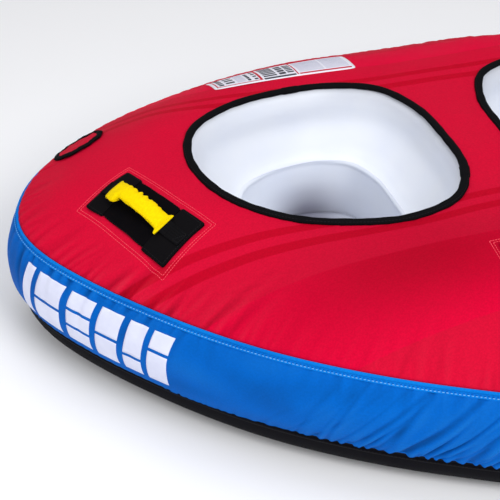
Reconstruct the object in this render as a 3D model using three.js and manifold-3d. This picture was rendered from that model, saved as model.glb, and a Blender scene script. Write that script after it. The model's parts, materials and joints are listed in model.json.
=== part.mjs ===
import * as THREE from 'three';
import { mergeVertices } from 'three/addons/utils/BufferGeometryUtils.js';
import Module from 'manifold-3d';

const wasm = await Module();
wasm.setup();

// ---------------------------------------------------------------- driving dimensions (mm)
// X runs across the tube, the bow is at -Y, the tube stands on Z = 0.
const DECK_Z = 338; // flat deck round the cockpits
const SHOULDER_DROP = 98; // deck down to the upper seam
const SHOULDER_POWER = 2.5; // 2 would be a parabola, more keeps the deck flat for longer
const SHOULDER_RUN = 310; // width of the sloping shoulder
const LOWER_SEAM_Z = 81;
const FLOOR_MARGIN = 80; // flat bottom starts this far inside the upper seam
const CENTRE = new THREE.Vector2(0, -60); // middle of the plan, used for polar sampling
const AROUND = 64; // facets round the tube

const COVER_THICKNESS = 3;
const BLADDER_GAP = 1;
// The bladder's baffles: a level one between its upper and lower chambers, and upright ones
// that pass beside the wide bowl of each cockpit above it and the narrower well below it.
const BAFFLE_Z = 262;
const BOWL_BAFFLES = { inner: 125, outer: 440, front: -130, rear: 150 };
const WELL_BAFFLES = { inner: 185, outer: 385, front: -100, rear: 115 };
const TOUCH_GAP = 0.3;

const PIPING_WIDTH = 13;
const PIPING_RISE = 7; // above the deck
const PIPING_DEPTH = 6; // below the deck
const COCKPIT_CENTRE = new THREE.Vector2(-290, 5);
const WELD_Z = 206; // height of the welded line in the cockpit wall
const WELD_SCALE = [0.6, 0.72]; // weld outline against the rim outline, across and fore-aft
const SEAT_TOP_Z = 80;
const SEAT_SCALE = [0.62, 0.74];

const PATCH_LENGTH = 212;
const PATCH_WIDTH = 98;
const PATCH_THICKNESS = 2;
const PATCH_LIFT = 1.4; // keeps the patch clear of the faceted deck
const KNUCKLE_LENGTH = 112;
const KNUCKLE_SLIDE = 7; // its middle lies this far aft of the patch's middle
const KNUCKLE_THICKNESS = 1.8;
const KNUCKLE_TRIM = 4; // the pad is this much narrower than its patch
const STRAP_WIDTH = 30;
const STRAP_THICKNESS = 3;
const GRIP_WIDTH = 48;
const GRIP_THICKNESS = 12;
const GRIP_SLIDE = 16; // the strap's arch stands this far aft of the patch's middle
const GRIP_HALF_LENGTH = 68;

const VALVE_PLACE = [-724, 249];
const VALVE_TURN = THREE.MathUtils.degToRad(36);
const VALVE_PORT_RADIUS = 25;
const FLAP_LENGTH = 106;
const FLAP_WIDTH = 82;

const LABEL_PLACE = [-274.5, 353];
const LABEL_SIZE = [304, 104];
const LABEL_TURN = THREE.MathUtils.degToRad(-2.5);

const ZIPPER_LENGTH = 380;
const ZIPPER_Z = 168;
const TAPE_EDGE = 20; // zipper tapes reach this far above and below the coil's middle
const TAPE_INNER = 3.5;
const COIL_HALF = 3.2;
const SLIDER_X = 150;

const TOW_Z = 152;
const TOW_PATCH_HALF_ANGLE = 0.1;
const TOW_PATCH_LIFT = 0.8;
const TOW_PATCH_THICKNESS = 3;
const PIN_RADIUS = 4;
const PIN_CLEARANCE = 0.3;
const BARREL_RADIUS = 7;

const GROMMET_PLACES = [[-640, 200], [640, 200]];
const OUTER_HANDLE_PLACE = [-662, -70];
const OUTER_HANDLE_TURN = THREE.MathUtils.degToRad(117);
const INNER_HANDLE_PLACE = [-60, -456];

// Upper seam outline, bow to stern along the port side; starboard mirrors it.
const SEAM_HALF = [
  [0, -648], [-120, -628], [-240, -575], [-380, -498], [-515, -405], [-620, -312], [-720, -203],
  [-800, -100], [-861, 12], [-872, 105], [-828, 212], [-745, 302], [-640, 376], [-500, 440],
  [-340, 490], [-200, 511], [-100, 511],
];
// Port cockpit rim, outer edge of the piping, counter-clockwise from the stern edge.
const RIM = [
  [-300, 247], [-425, 223], [-520, 156], [-553, 45], [-520, -82], [-434, -178], [-325, -226],
  [-220, -240], [-115, -203], [-63, -115], [-55, 0], [-65, 105], [-113, 200], [-200, 240],
];

// ---------------------------------------------------------------- materials
function finish(colour, roughness, metalness = 0) {
  return new THREE.MeshStandardMaterial({ color: new THREE.Color(colour), roughness, metalness });
}

const MATERIALS = {
  redNylon: finish('#c81a38', 0.7),
  blueNylon: finish('#0a66c8', 0.7),
  blackNylon: finish('#141416', 0.8),
  whitePvc: finish('#e6eaf6', 0.4),
  yellowSleeve: finish('#f5e000', 0.75),
  neoprene: finish('#101012', 0.95),
  webbing: finish('#1a1a1c', 0.85),
  plastic: finish('#17181a', 0.45),
  steel: finish('#a9acb0', 0.3, 1),
  brass: finish('#b08d4a', 0.35, 1),
  label: finish('#e9e9ee', 0.5),
};

// ---------------------------------------------------------------- meshes and booleans
function solidOf(geometry) {
  const bare = geometry.clone();
  bare.deleteAttribute('normal');
  bare.deleteAttribute('uv');
  const merged = mergeVertices(bare, 1e-4);
  return new wasm.Manifold(new wasm.Mesh({
    numProp: 3,
    vertProperties: Float32Array.from(merged.attributes.position.array),
    triVerts: Uint32Array.from(merged.index.array),
  }));
}

function geometryOf(solid) {
  const mesh = solid.getMesh();
  const geometry = new THREE.BufferGeometry();
  geometry.setAttribute('position', new THREE.BufferAttribute(mesh.vertProperties, 3));
  geometry.setIndex(new THREE.BufferAttribute(mesh.triVerts, 1));
  geometry.computeVertexNormals();
  return geometry;
}

function cut(geometry, ...tools) {
  return geometryOf(tools.reduce((solid, tool) => solid.subtract(solidOf(tool)), solidOf(geometry)));
}

// Closed skin over a list of rings; 'capped' closes both ends with fans, 'ring' joins last to first.
function loft(rings, ending = 'capped') {
  const size = rings[0].length;
  const positions = rings.flatMap((ring) => ring.flatMap((point) => point.toArray()));
  const indices = [];
  const bands = ending === 'ring' ? rings.length : rings.length - 1;
  for (let i = 0; i < bands; i += 1) {
    const next = (i + 1) % rings.length;
    for (let j = 0; j < size; j += 1) {
      const k = (j + 1) % size;
      const [a, b, c, d] = [i * size + j, i * size + k, next * size + k, next * size + j];
      indices.push(a, b, c, a, c, d);
    }
  }
  if (ending === 'capped') {
    for (const [ring, flip] of [[0, true], [rings.length - 1, false]]) {
      const middle = rings[ring].reduce((sum, p) => sum.add(p), new THREE.Vector3());
      middle.divideScalar(size);
      positions.push(...middle.toArray());
      const centre = positions.length / 3 - 1;
      for (let j = 0; j < size; j += 1) {
        const [a, b] = [ring * size + j, ring * size + ((j + 1) % size)];
        indices.push(...(flip ? [centre, b, a] : [centre, a, b]));
      }
    }
  }
  const geometry = new THREE.BufferGeometry();
  geometry.setAttribute('position', new THREE.Float32BufferAttribute(positions, 3));
  geometry.setIndex(indices);
  return facingOut(geometry);
}

// Turns the triangles over when the enclosed volume comes out negative.
function facingOut(geometry) {
  const p = geometry.attributes.position;
  const index = geometry.index.array;
  const corner = (i) => new THREE.Vector3().fromBufferAttribute(p, index[i]);
  let volume = 0;
  for (let i = 0; i < index.length; i += 3) {
    volume += corner(i).dot(corner(i + 1).cross(corner(i + 2)));
  }
  if (volume < 0) {
    for (let i = 0; i < index.length; i += 3) {
      [index[i + 1], index[i + 2]] = [index[i + 2], index[i + 1]];
    }
  }
  geometry.computeVertexNormals();
  return geometry;
}

// ---------------------------------------------------------------- plan and section of the tube
function closedCurve(points) {
  const corners = points.map(([x, y]) => new THREE.Vector3(x, y, 0));
  return new THREE.CatmullRomCurve3(corners, true, 'centripetal');
}

const seamCurve = closedCurve([
  ...SEAM_HALF,
  ...SEAM_HALF.slice(1).reverse().map(([x, y]) => [-x, y]),
]);
const seamPolar = seamCurve.getPoints(1440).map((p) => {
  const [dx, dy] = [p.x - CENTRE.x, p.y - CENTRE.y];
  return { angle: Math.atan2(dy, dx), radius: Math.hypot(dx, dy) };
}).sort((a, b) => a.angle - b.angle);

function seamRadius(angle) {
  const wrapped = Math.atan2(Math.sin(angle), Math.cos(angle));
  const next = seamPolar.findIndex((entry) => entry.angle >= wrapped);
  const after = seamPolar[next < 0 ? 0 : next];
  const before = seamPolar[next <= 0 ? seamPolar.length - 1 : next - 1];
  const span = after.angle - before.angle;
  const share = span > 1e-9 ? (wrapped - before.angle) / span : 0;
  return before.radius + (after.radius - before.radius) * THREE.MathUtils.clamp(share, 0, 1);
}

// Deck height over a plan point: curving down the shoulder, flat inside it.
function deckHeight(x, y) {
  const angle = Math.atan2(y - CENTRE.y, x - CENTRE.x);
  const inside = seamRadius(angle) - Math.hypot(x - CENTRE.x, y - CENTRE.y);
  const share = THREE.MathUtils.clamp(1 - inside / SHOULDER_RUN, 0, 1);
  return DECK_Z - SHOULDER_DROP * share ** SHOULDER_POWER;
}

function deckNormal(x, y) {
  const step = 20;
  const slopeX = (deckHeight(x + step, y) - deckHeight(x - step, y)) / (2 * step);
  const slopeY = (deckHeight(x, y + step) - deckHeight(x, y - step)) / (2 * step);
  return new THREE.Vector3(-slopeX, -slopeY, 1).normalize();
}

const UPPER_SEAM_Z = DECK_Z - SHOULDER_DROP;
// Section from the floor up to the deck: distance outside the upper seam, height.
const SIDE_SECTION = [
  [-FLOOR_MARGIN, 0], [-42, 7], [-12, 24], [4, 48], [14, LOWER_SEAM_Z],
  [27, 112], [32, 150], [29, 184], [17, 216],
];
const SHOULDER_STEPS = [0, 0.14, 0.3, 0.48, 0.7, 1];
const SECTION = [
  ...SIDE_SECTION,
  ...SHOULDER_STEPS.map((s) => [-s * SHOULDER_RUN, DECK_Z - SHOULDER_DROP * (1 - s) ** SHOULDER_POWER]),
];

function insetSection(amount) {
  return SECTION.map(([out, z], i) => {
    const [out0, z0] = SECTION[Math.max(i - 1, 0)];
    const [out1, z1] = SECTION[Math.min(i + 1, SECTION.length - 1)];
    if (i === 0) return [out, z + amount];
    if (i === SECTION.length - 1) return [out, z - amount];
    const length = Math.hypot(out1 - out0, z1 - z0);
    return [out - (amount * (z1 - z0)) / length, z + (amount * (out1 - out0)) / length];
  });
}

function polarRing(offset, z, count = AROUND) {
  return Array.from({ length: count }, (_, i) => {
    const angle = (2 * Math.PI * (i + 0.5)) / count;
    const radius = seamRadius(angle) + offset;
    return new THREE.Vector3(
      CENTRE.x + radius * Math.cos(angle), CENTRE.y + radius * Math.sin(angle), z);
  });
}

function tubeForm(inset) {
  return loft(insetSection(inset).map(([out, z]) => polarRing(out, z)));
}

const LOWER_SEAM = SECTION.findIndex(([, z]) => z === LOWER_SEAM_Z);
const UPPER_SEAM = SIDE_SECTION.length;

// Section rows of a cover panel between two section points, its two cut edges drawn back a little.
function panelSections(from, to) {
  const layer = (amount) => {
    const points = insetSection(amount).slice(from, to + 1);
    for (const [end, neighbour] of [[0, 1], [points.length - 1, points.length - 2]]) {
      const [out, z] = points[end];
      const [du, dz] = [points[neighbour][0] - out, points[neighbour][1] - z];
      const share = TOUCH_GAP / Math.hypot(du, dz);
      points[end] = [out + du * share, z + dz * share];
    }
    return points;
  };
  return [layer(0), layer(COVER_THICKNESS)];
}

function panel(from, to) {
  const [outside, inside] = panelSections(from, to);
  if (from === 0) return loft([...inside, ...outside.reverse()].map(([out, z]) => polarRing(out, z)));
  if (to === SECTION.length - 1) {
    return loft([...inside.reverse(), ...outside].map(([out, z]) => polarRing(out, z)));
  }
  return loft([...outside, ...inside.reverse()].map(([out, z]) => polarRing(out, z)), 'ring');
}

// Bound seam: a folded strip bent over the corner that the section makes at a seam.
function seamBinding(at, reach = 7, thickness = 3) {
  const corner = new THREE.Vector2(...SECTION[at]);
  const arms = [at - 1, at + 1].map((i) => new THREE.Vector2(...SECTION[i]).sub(corner).normalize());
  const normals = [
    new THREE.Vector2(-arms[0].y, arms[0].x), new THREE.Vector2(arms[1].y, -arms[1].x)];
  const between = normals[0].clone().add(normals[1]).normalize();
  const row = (lift) => [
    corner.clone().addScaledVector(arms[0], reach).addScaledVector(normals[0], lift),
    corner.clone().addScaledVector(between, lift * 1.05),
    corner.clone().addScaledVector(arms[1], reach).addScaledVector(normals[1], lift),
  ];
  const section = [...row(TOUCH_GAP + 0.1), ...row(thickness).reverse()];
  return loft(section.map((point) => polarRing(point.x, point.y)), 'ring');
}

// ---------------------------------------------------------------- cockpits
const RIM_POINTS = 40;
const rimCurve = closedCurve(RIM);

// Ring of the cockpit rim moved in towards the cockpit middle; side is 1 for port, -1 for starboard.
function rimRing(side, inset, z) {
  return Array.from({ length: RIM_POINTS }, (_, i) => {
    const share = i / RIM_POINTS;
    const point = rimCurve.getPointAt(share);
    const tangent = rimCurve.getTangentAt(share);
    return new THREE.Vector3(side * (point.x - tangent.y * inset), point.y + tangent.x * inset, z);
  });
}

function scaledRim(side, [scaleX, scaleY], z, grow = 0) {
  return rimRing(1, 0, z).map((point) => {
    const away = new THREE.Vector2(
      (point.x - COCKPIT_CENTRE.x) * scaleX, (point.y - COCKPIT_CENTRE.y) * scaleY);
    away.setLength(away.length() + grow);
    return new THREE.Vector3(side * (COCKPIT_CENTRE.x + away.x), COCKPIT_CENTRE.y + away.y, z);
  });
}

// The space cut out of the bladder: a seat for the piping, a bowl to the weld, a well below it.
function cockpitSpace(side) {
  const halfway = [(1 + WELD_SCALE[0]) / 2 + 0.05, (1 + WELD_SCALE[1]) / 2 + 0.04];
  return loft([
    rimRing(side, -0.5, DECK_Z + 40),
    rimRing(side, -0.5, DECK_Z - PIPING_DEPTH - 0.5),
    rimRing(side, PIPING_WIDTH, DECK_Z - PIPING_DEPTH - 1),
    scaledRim(side, halfway, 265),
    scaledRim(side, WELD_SCALE, WELD_Z),
    scaledRim(side, SEAT_SCALE, SEAT_TOP_Z + 20),
    scaledRim(side, SEAT_SCALE, -20),
  ]);
}

function cockpitPiping(side) {
  const middleZ = DECK_Z + (PIPING_RISE - PIPING_DEPTH) / 2;
  const halfHeight = (PIPING_RISE + PIPING_DEPTH) / 2;
  const sides = 8;
  const rings = Array.from({ length: sides }, (_, i) => {
    const angle = (2 * Math.PI * i) / sides;
    const inset = (PIPING_WIDTH / 2) * (1 + Math.cos(angle));
    return rimRing(side, inset, middleZ + halfHeight * Math.sin(angle));
  });
  return loft(rings, 'ring');
}

function seatFloor(side) {
  const low = COVER_THICKNESS + BLADDER_GAP;
  return loft([
    scaledRim(side, SEAT_SCALE, low, -6),
    scaledRim(side, SEAT_SCALE, low + 12, -1.5),
    scaledRim(side, SEAT_SCALE, SEAT_TOP_Z - 14, -1.5),
    scaledRim(side, SEAT_SCALE, SEAT_TOP_Z - 4, -8),
    scaledRim(side, SEAT_SCALE, SEAT_TOP_Z, -26),
  ]);
}

// ---------------------------------------------------------------- pieces that follow the deck
// A plate laid on the deck: its own frame has u along the piece, v across it.
function drapedPlate({ place, turn, outline, lift, thickness }) {
  const point = ([u, v], height) => {
    const x = place[0] + u * Math.cos(turn) - v * Math.sin(turn);
    const y = place[1] + u * Math.sin(turn) + v * Math.cos(turn);
    return new THREE.Vector3(x, y, deckHeight(x, y)).addScaledVector(deckNormal(x, y), height);
  };
  const layer = (scale, height) => outline.map(([u, v]) => point([u * scale, v * scale], height));
  const top = lift + thickness;
  return loft([
    layer(0.3, lift), layer(0.65, lift), layer(1, lift), layer(1, top), layer(0.65, top), layer(0.3, top),
  ]);
}

function rectangleOutline(length, width, perSide = 5) {
  const corners = [[1, 1], [-1, 1], [-1, -1], [1, -1]];
  return corners.flatMap(([cu, cv], i) => {
    const [nu, nv] = corners[(i + 1) % 4];
    return Array.from({ length: perSide }, (_, k) => {
      const s = k / perSide;
      return [((cu + (nu - cu) * s) * length) / 2, ((cv + (nv - cv) * s) * width) / 2];
    });
  });
}

function ovalOutline(length, width, count = 20) {
  return Array.from({ length: count }, (_, i) => {
    const angle = (2 * Math.PI * i) / count;
    return [(length / 2) * Math.cos(angle), (width / 2) * Math.sin(angle)];
  });
}

// A section swept along points in the local U-W plane; V is across the strap.
function sweep(points, width, thickness, corners = 4) {
  return loft(points.map(([u, w], i) => {
    const [u0, w0] = points[Math.max(i - 1, 0)];
    const [u1, w1] = points[Math.min(i + 1, points.length - 1)];
    const length = Math.hypot(u1 - u0, w1 - w0);
    const [nu, nw] = [-(w1 - w0) / length, (u1 - u0) / length];
    return Array.from({ length: corners }, (_, j) => {
      const angle = (2 * Math.PI * (j + 0.5)) / corners;
      const scale = corners === 4 ? Math.SQRT2 : 1;
      const v = (width / 2) * scale * Math.cos(angle);
      const t = (thickness / 2) * scale * Math.sin(angle);
      return new THREE.Vector3(u + nu * t, v, w + nw * t);
    });
  }));
}

function piece(name, geometry, material) {
  const mesh = new THREE.Mesh(geometry, material);
  mesh.name = name;
  return mesh;
}

// Group whose Z is the deck's normal at a plan point and whose X is the turned U direction.
function deckFrame([x, y], turn) {
  const frame = new THREE.Group();
  const up = deckNormal(x, y);
  const along = new THREE.Vector3(Math.cos(turn), Math.sin(turn), 0);
  along.addScaledVector(up, -along.dot(up)).normalize();
  const across = new THREE.Vector3().crossVectors(up, along);
  frame.quaternion.setFromRotationMatrix(new THREE.Matrix4().makeBasis(along, across, up));
  frame.position.set(x, y, deckHeight(x, y));
  return frame;
}

// How far the deck lies above or below the frame's flat plane, u along from its middle.
function deckSag(frame, [x, y], turn, u) {
  const [px, py] = [x + u * Math.cos(turn), y + u * Math.sin(turn)];
  const point = new THREE.Vector3(px, py, deckHeight(px, py)).sub(frame.position);
  return point.applyQuaternion(frame.quaternion.clone().invert()).z;
}

// ---------------------------------------------------------------- grab handles
const STRAP_ARCH = [[78, 9.5], [72, 15], [60, 22], [38, 29.5], [0, 33]];
const GRIP_END_RISE = 18;
// Each end of the strap lies on the patch and rises to meet the arch.
const STRAP_ANCHORS = {
  rear: [[104.5, 3.2], [101, 3.2], [98.5, 4], [95.6, 5.6]],
  front: [[-102, 3.2], [-78, 3.2], [-70, 3.8], [-63.6, 5.6]],
};

function mirroredArch(points) {
  return [...points.map(([u, w]) => [-u, w]), ...points.slice(0, -1).reverse()];
}

function alongDeck([x, y], turn, u) {
  return [x + u * Math.cos(turn), y + u * Math.sin(turn)];
}

function grabHandle(name, place, turn) {
  const handle = new THREE.Group();
  const patch = drapedPlate({
    place,
    turn,
    outline: rectangleOutline(PATCH_LENGTH, PATCH_WIDTH),
    lift: PATCH_LIFT,
    thickness: PATCH_THICKNESS,
  });
  const knucklePad = drapedPlate({
    place: alongDeck(place, turn, KNUCKLE_SLIDE),
    turn,
    outline: rectangleOutline(KNUCKLE_LENGTH, PATCH_WIDTH - KNUCKLE_TRIM),
    lift: PATCH_LIFT + PATCH_THICKNESS + 3 * TOUCH_GAP,
    thickness: KNUCKLE_THICKNESS,
  });
  handle.add(piece(`${name}_patch`, patch, MATERIALS.blackNylon));
  handle.add(piece(`${name}_knuckle_pad`, knucklePad, MATERIALS.neoprene));
  const frame = deckFrame(place, turn);
  const onDeck = ([u, w]) => [u, w + deckSag(frame, place, turn, u)];
  const arch = mirroredArch(STRAP_ARCH).map(([u, w]) => onDeck([u + GRIP_SLIDE, w]));
  const strap = sweep(arch, STRAP_WIDTH, STRAP_THICKNESS);
  frame.add(piece(`${name}_strap`, strap, MATERIALS.webbing));
  const sleevePath = arch.filter(([u]) => Math.abs(u - GRIP_SLIDE) < GRIP_HALF_LENGTH);
  const ends = [-1, 1].map((sign) => onDeck([GRIP_SLIDE + sign * GRIP_HALF_LENGTH, GRIP_END_RISE]));
  const sleeve = sweep([ends[0], ...sleevePath, ends[1]], GRIP_WIDTH, GRIP_THICKNESS, 12);
  const tunnel = sweep(arch, STRAP_WIDTH + 2 * TOUCH_GAP, STRAP_THICKNESS + 2 * TOUCH_GAP);
  frame.add(piece(`${name}_grip`, cut(sleeve, tunnel), MATERIALS.yellowSleeve));
  for (const [end, points] of Object.entries(STRAP_ANCHORS)) {
    const route = points.map(([u, w]) => onDeck([u, w + PATCH_LIFT + PATCH_THICKNESS]));
    const anchor = sweep(route, STRAP_WIDTH, STRAP_THICKNESS);
    frame.add(piece(`${name}_strap_end_${end}`, anchor, MATERIALS.webbing));
  }
  handle.add(frame);
  return handle;
}

// ---------------------------------------------------------------- valve under its flap
function disc(radius, low, high, segments = 24) {
  const profile = [[0, low], [radius, low], [radius, high], [0, high]];
  return lathe(profile, segments);
}

function lathe(profile, segments = 24) {
  const points = profile.map(([r, z]) => new THREE.Vector2(r, z));
  return new THREE.LatheGeometry(points, segments).rotateX(Math.PI / 2);
}

function inFrame(geometry, frame) {
  frame.updateMatrixWorld(true);
  return geometry.clone().applyMatrix4(frame.matrixWorld);
}

// ---------------------------------------------------------------- assembly
const tube = new THREE.Group();
const cockpitCuts = [1, -1].map((side) => loft([
  rimRing(side, -TOUCH_GAP, UPPER_SEAM_Z), rimRing(side, -TOUCH_GAP, DECK_Z + 40)]));
const valveFrame = deckFrame(VALVE_PLACE, VALVE_TURN);
const portCut = inFrame(disc(VALVE_PORT_RADIUS, -14, 20), valveFrame);

tube.add(piece('cover_top_panel',
  cut(panel(UPPER_SEAM, SECTION.length - 1), ...cockpitCuts, portCut), MATERIALS.redNylon));
tube.add(piece('cover_side_band', panel(LOWER_SEAM, UPPER_SEAM), MATERIALS.blueNylon));

const grommetCuts = GROMMET_PLACES.map(([x, y]) => disc(9.3, -5, 8, 12).translate(x, y, 0));
tube.add(piece('cover_bottom_panel',
  cut(panel(0, LOWER_SEAM), ...grommetCuts), MATERIALS.blackNylon));
GROMMET_PLACES.forEach(([x, y], i) => {
  const ring = lathe([[5, 0.2], [9, 0.2], [9, 3], [5, 3], [5, 0.2]], 12).translate(x, y, 0);
  tube.add(piece(`drain_grommet_${i ? 'right' : 'left'}`, ring, MATERIALS.brass));
});

tube.add(piece('upper_seam_binding', seamBinding(UPPER_SEAM), MATERIALS.blueNylon));
tube.add(piece('lower_seam_binding', seamBinding(LOWER_SEAM), MATERIALS.blackNylon));

const valvePocket = inFrame(disc(VALVE_PORT_RADIUS - 1, -34, 20), valveFrame);
const bladder = solidOf(
  cut(tubeForm(COVER_THICKNESS + BLADDER_GAP), cockpitSpace(1), cockpitSpace(-1), valvePocket));
const FAR = 2000;
function chamber(name, [xLow, xHigh], [yLow, yHigh], [zLow, zHigh]) {
  const bounds = new THREE.BoxGeometry(
    xHigh - xLow - TOUCH_GAP, yHigh - yLow - TOUCH_GAP, zHigh - zLow - TOUCH_GAP);
  bounds.translate((xLow + xHigh) / 2, (yLow + yHigh) / 2, (zLow + zHigh) / 2);
  tube.add(piece(name, geometryOf(bladder.intersect(solidOf(bounds))), MATERIALS.whitePvc));
}
for (const [level, { inner, outer, front, rear }, height] of [
  ['upper', BOWL_BAFFLES, [BAFFLE_Z, FAR]],
  ['lower', WELL_BAFFLES, [-FAR, BAFFLE_Z]],
]) {
  chamber(`chamber_${level}_port`, [-FAR, -outer], [-FAR, FAR], height);
  chamber(`chamber_${level}_starboard`, [outer, FAR], [-FAR, FAR], height);
  chamber(`chamber_${level}_bow`, [-outer, outer], [-FAR, front], height);
  chamber(`chamber_${level}_stern`, [-outer, outer], [rear, FAR], height);
  chamber(`chamber_${level}_centre`, [-inner, inner], [front, rear], height);
}
for (const [side, name] of [[1, 'left'], [-1, 'right']]) {
  tube.add(piece(`cockpit_piping_${name}`, cockpitPiping(side), MATERIALS.blackNylon));
  tube.add(piece(`seat_floor_${name}`, seatFloor(side), MATERIALS.whitePvc));
}

valveFrame.add(piece('valve_body', lathe([
  [0, -33.5], [23, -33.5], [23, -30], [16, -28], [16, -12], [13, -12], [13, -24], [0, -24],
]), MATERIALS.whitePvc));
valveFrame.add(piece('valve_cap', lathe([
  [0, -23.4], [12.6, -23.4], [12.6, -11.6], [18, -11.6], [18, -6], [14, -4], [0, -4],
], 12), MATERIALS.whitePvc));
tube.add(valveFrame);
// Oval layer over the valve, drawn in from the flap's edge by 'trim' on its length and width.
function flapLayer(trim, lift, thickness) {
  const outline = ovalOutline(FLAP_LENGTH - trim, FLAP_WIDTH - trim);
  return drapedPlate({ place: VALVE_PLACE, turn: VALVE_TURN, outline, lift, thickness });
}
const portOutline = ovalOutline(2 * VALVE_PORT_RADIUS + 12, 2 * VALVE_PORT_RADIUS + 12);
const portRing = drapedPlate({
  place: VALVE_PLACE, turn: VALVE_TURN, outline: portOutline, lift: 0.4, thickness: 1.4,
});
const portHole = inFrame(disc(VALVE_PORT_RADIUS - 0.5, -20, 30), valveFrame);
tube.add(piece('valve_port_binding', cut(portRing, portHole), MATERIALS.blackNylon));
tube.add(piece('valve_flap', flapLayer(16, 2.8, 2), MATERIALS.redNylon));
tube.add(piece('valve_flap_binding',
  cut(flapLayer(0, 2.2, 3.4), flapLayer(15, -8, 30)), MATERIALS.blackNylon));

const labelOutline = rectangleOutline(...LABEL_SIZE);
tube.add(piece('instruction_label', drapedPlate({
  place: LABEL_PLACE, turn: LABEL_TURN, outline: labelOutline, lift: 1.1, thickness: 0.8,
}), MATERIALS.label));

// The starboard handles mirror the port ones.
for (const [name, [x, y], turn] of [
  ['outer', OUTER_HANDLE_PLACE, OUTER_HANDLE_TURN],
  ['inner', INNER_HANDLE_PLACE, Math.PI / 2],
]) {
  tube.add(grabHandle(`handle_${name}_left`, [x, y], turn));
  tube.add(grabHandle(`handle_${name}_right`, [-x, y], Math.PI - turn));
}

// ---------------------------------------------------------------- tow point at the bow
const BAND_BULGE = 32; // how far the band's widest row stands outside the upper seam
const bowFace = CENTRE.y - seamRadius(-Math.PI / 2) - BAND_BULGE;

// Plate that follows the band round the bow.
function towPatch(lift, thickness) {
  const rows = [[BAND_BULGE - 3, TOW_Z - 30], [BAND_BULGE, TOW_Z], [BAND_BULGE - 2, TOW_Z + 30]];
  const section = [
    ...rows.map(([out, z]) => [out + lift, z]),
    ...rows.map(([out, z]) => [out + lift + thickness, z]).reverse(),
  ];
  const ringAt = (angle) => section.map(([out, z]) => {
    const radius = seamRadius(angle) + out;
    const [x, y] = [radius * Math.cos(angle), radius * Math.sin(angle)];
    return new THREE.Vector3(CENTRE.x + x, CENTRE.y + y, z);
  });
  const steps = 8;
  const angles = Array.from({ length: steps + 1 }, (_, i) => (
    -Math.PI / 2 + TOW_PATCH_HALF_ANGLE * ((2 * i) / steps - 1)));
  return loft(angles.map(ringAt));
}
tube.add(piece('tow_patch', towPatch(TOW_PATCH_LIFT, TOW_PATCH_THICKNESS), MATERIALS.plastic));

// Anchor block sewn through the patch, its hinge pin, and the connector that hangs from the pin
// and takes the rope's eye through its window.
const towY = bowFace - TOW_PATCH_LIFT - TOW_PATCH_THICKNESS - 0.5;
const pinY = towY - 15;
function alongX(radius, length) {
  const rod = new THREE.CylinderGeometry(radius, radius, length, 16);
  return rod.rotateZ(Math.PI / 2).translate(0, pinY, TOW_Z);
}
const pinHole = alongX(PIN_RADIUS + PIN_CLEARANCE, 100);
const anchorBlock = new THREE.BoxGeometry(70, 26, 34).translate(0, towY - 13, TOW_Z);
const anchorSlot = new THREE.BoxGeometry(41, 30, 60).translate(0, towY - 22, TOW_Z);
tube.add(piece('tow_anchor', cut(anchorBlock, anchorSlot, pinHole), MATERIALS.plastic));
tube.add(piece('tow_pin', alongX(PIN_RADIUS, 74), MATERIALS.steel));
const connectorHalf = [[20, 2], [20, -20], [32, -38], [32, -68], [22, -78]];
const connectorOutline = new THREE.Shape([
  ...connectorHalf.map(([x, z]) => new THREE.Vector2(x, z)),
  ...connectorHalf.map(([x, z]) => new THREE.Vector2(-x, z)).reverse(),
]);
const connectorPlate = new THREE.ExtrudeGeometry(connectorOutline, { depth: 12, bevelEnabled: false });
connectorPlate.rotateX(Math.PI / 2).translate(0, pinY + 6, TOW_Z);
const connectorBody = geometryOf(
  solidOf(connectorPlate).add(solidOf(alongX(BARREL_RADIUS, 40))));
const connectorWindow = new THREE.BoxGeometry(38, 40, 28).translate(0, pinY, TOW_Z - 52);
tube.add(piece('tow_connector',
  cut(connectorBody, pinHole, connectorWindow), MATERIALS.plastic));

// ---------------------------------------------------------------- stern zipper
const sternSeam = SEAM_HALF[SEAM_HALF.length - 1][1]; // the stern is straight there
const sternY = sternSeam + BAND_BULGE + 2 * TOUCH_GAP;
function zipperStrip(name, zLow, zHigh, yLow, thickness, material) {
  const strip = new THREE.BoxGeometry(ZIPPER_LENGTH, thickness, zHigh - zLow);
  strip.translate(0, yLow + thickness / 2, (zLow + zHigh) / 2);
  tube.add(piece(name, strip, material));
}
zipperStrip('zipper_tape_upper',
  ZIPPER_Z + TAPE_INNER, ZIPPER_Z + TAPE_EDGE, sternY, 1.2, MATERIALS.webbing);
zipperStrip('zipper_tape_lower',
  ZIPPER_Z - TAPE_EDGE, ZIPPER_Z - TAPE_INNER, sternY, 1.2, MATERIALS.webbing);
zipperStrip('zipper_coil',
  ZIPPER_Z - COIL_HALF, ZIPPER_Z + COIL_HALF, sternY, 2, MATERIALS.plastic);
const slider = new THREE.Group();
slider.position.set(SLIDER_X, sternY + 2.3, ZIPPER_Z);
const sliderBody = cut(
  new THREE.BoxGeometry(20, 6, 12).translate(0, 3, 0),
  new THREE.BoxGeometry(8, 2.4, 20).translate(0, 4, 0));
slider.add(piece('zipper_slider', sliderBody, MATERIALS.steel));
const pullCorners = [[-5, 0], [-7, -34], [7, -34], [5, 0]];
const pullOutline = new THREE.Shape(pullCorners.map(([x, z]) => new THREE.Vector2(x, z)));
const pullPlate = new THREE.ExtrudeGeometry(pullOutline, { depth: 1.8, bevelEnabled: false });
const pullHole = new THREE.CylinderGeometry(3, 3, 10, 12).rotateX(Math.PI / 2).translate(0, -27, 0);
const pull = cut(pullPlate, pullHole);
pull.rotateX(Math.PI / 2).translate(0, 8.4, -5);
slider.add(piece('zipper_pull', pull, MATERIALS.plastic));
tube.add(slider);

// The frame's origin is on the floor under the middle of the whole object.
const bowEnd = towY - 26;
const sternEnd = slider.position.y + 8.4;
tube.position.y = -(bowEnd + sternEnd) / 2;

export default tube;
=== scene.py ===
"""Looks of the two-rider towable tube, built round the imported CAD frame. Metres, Z up, bow at -Y."""

import json
import math

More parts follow.
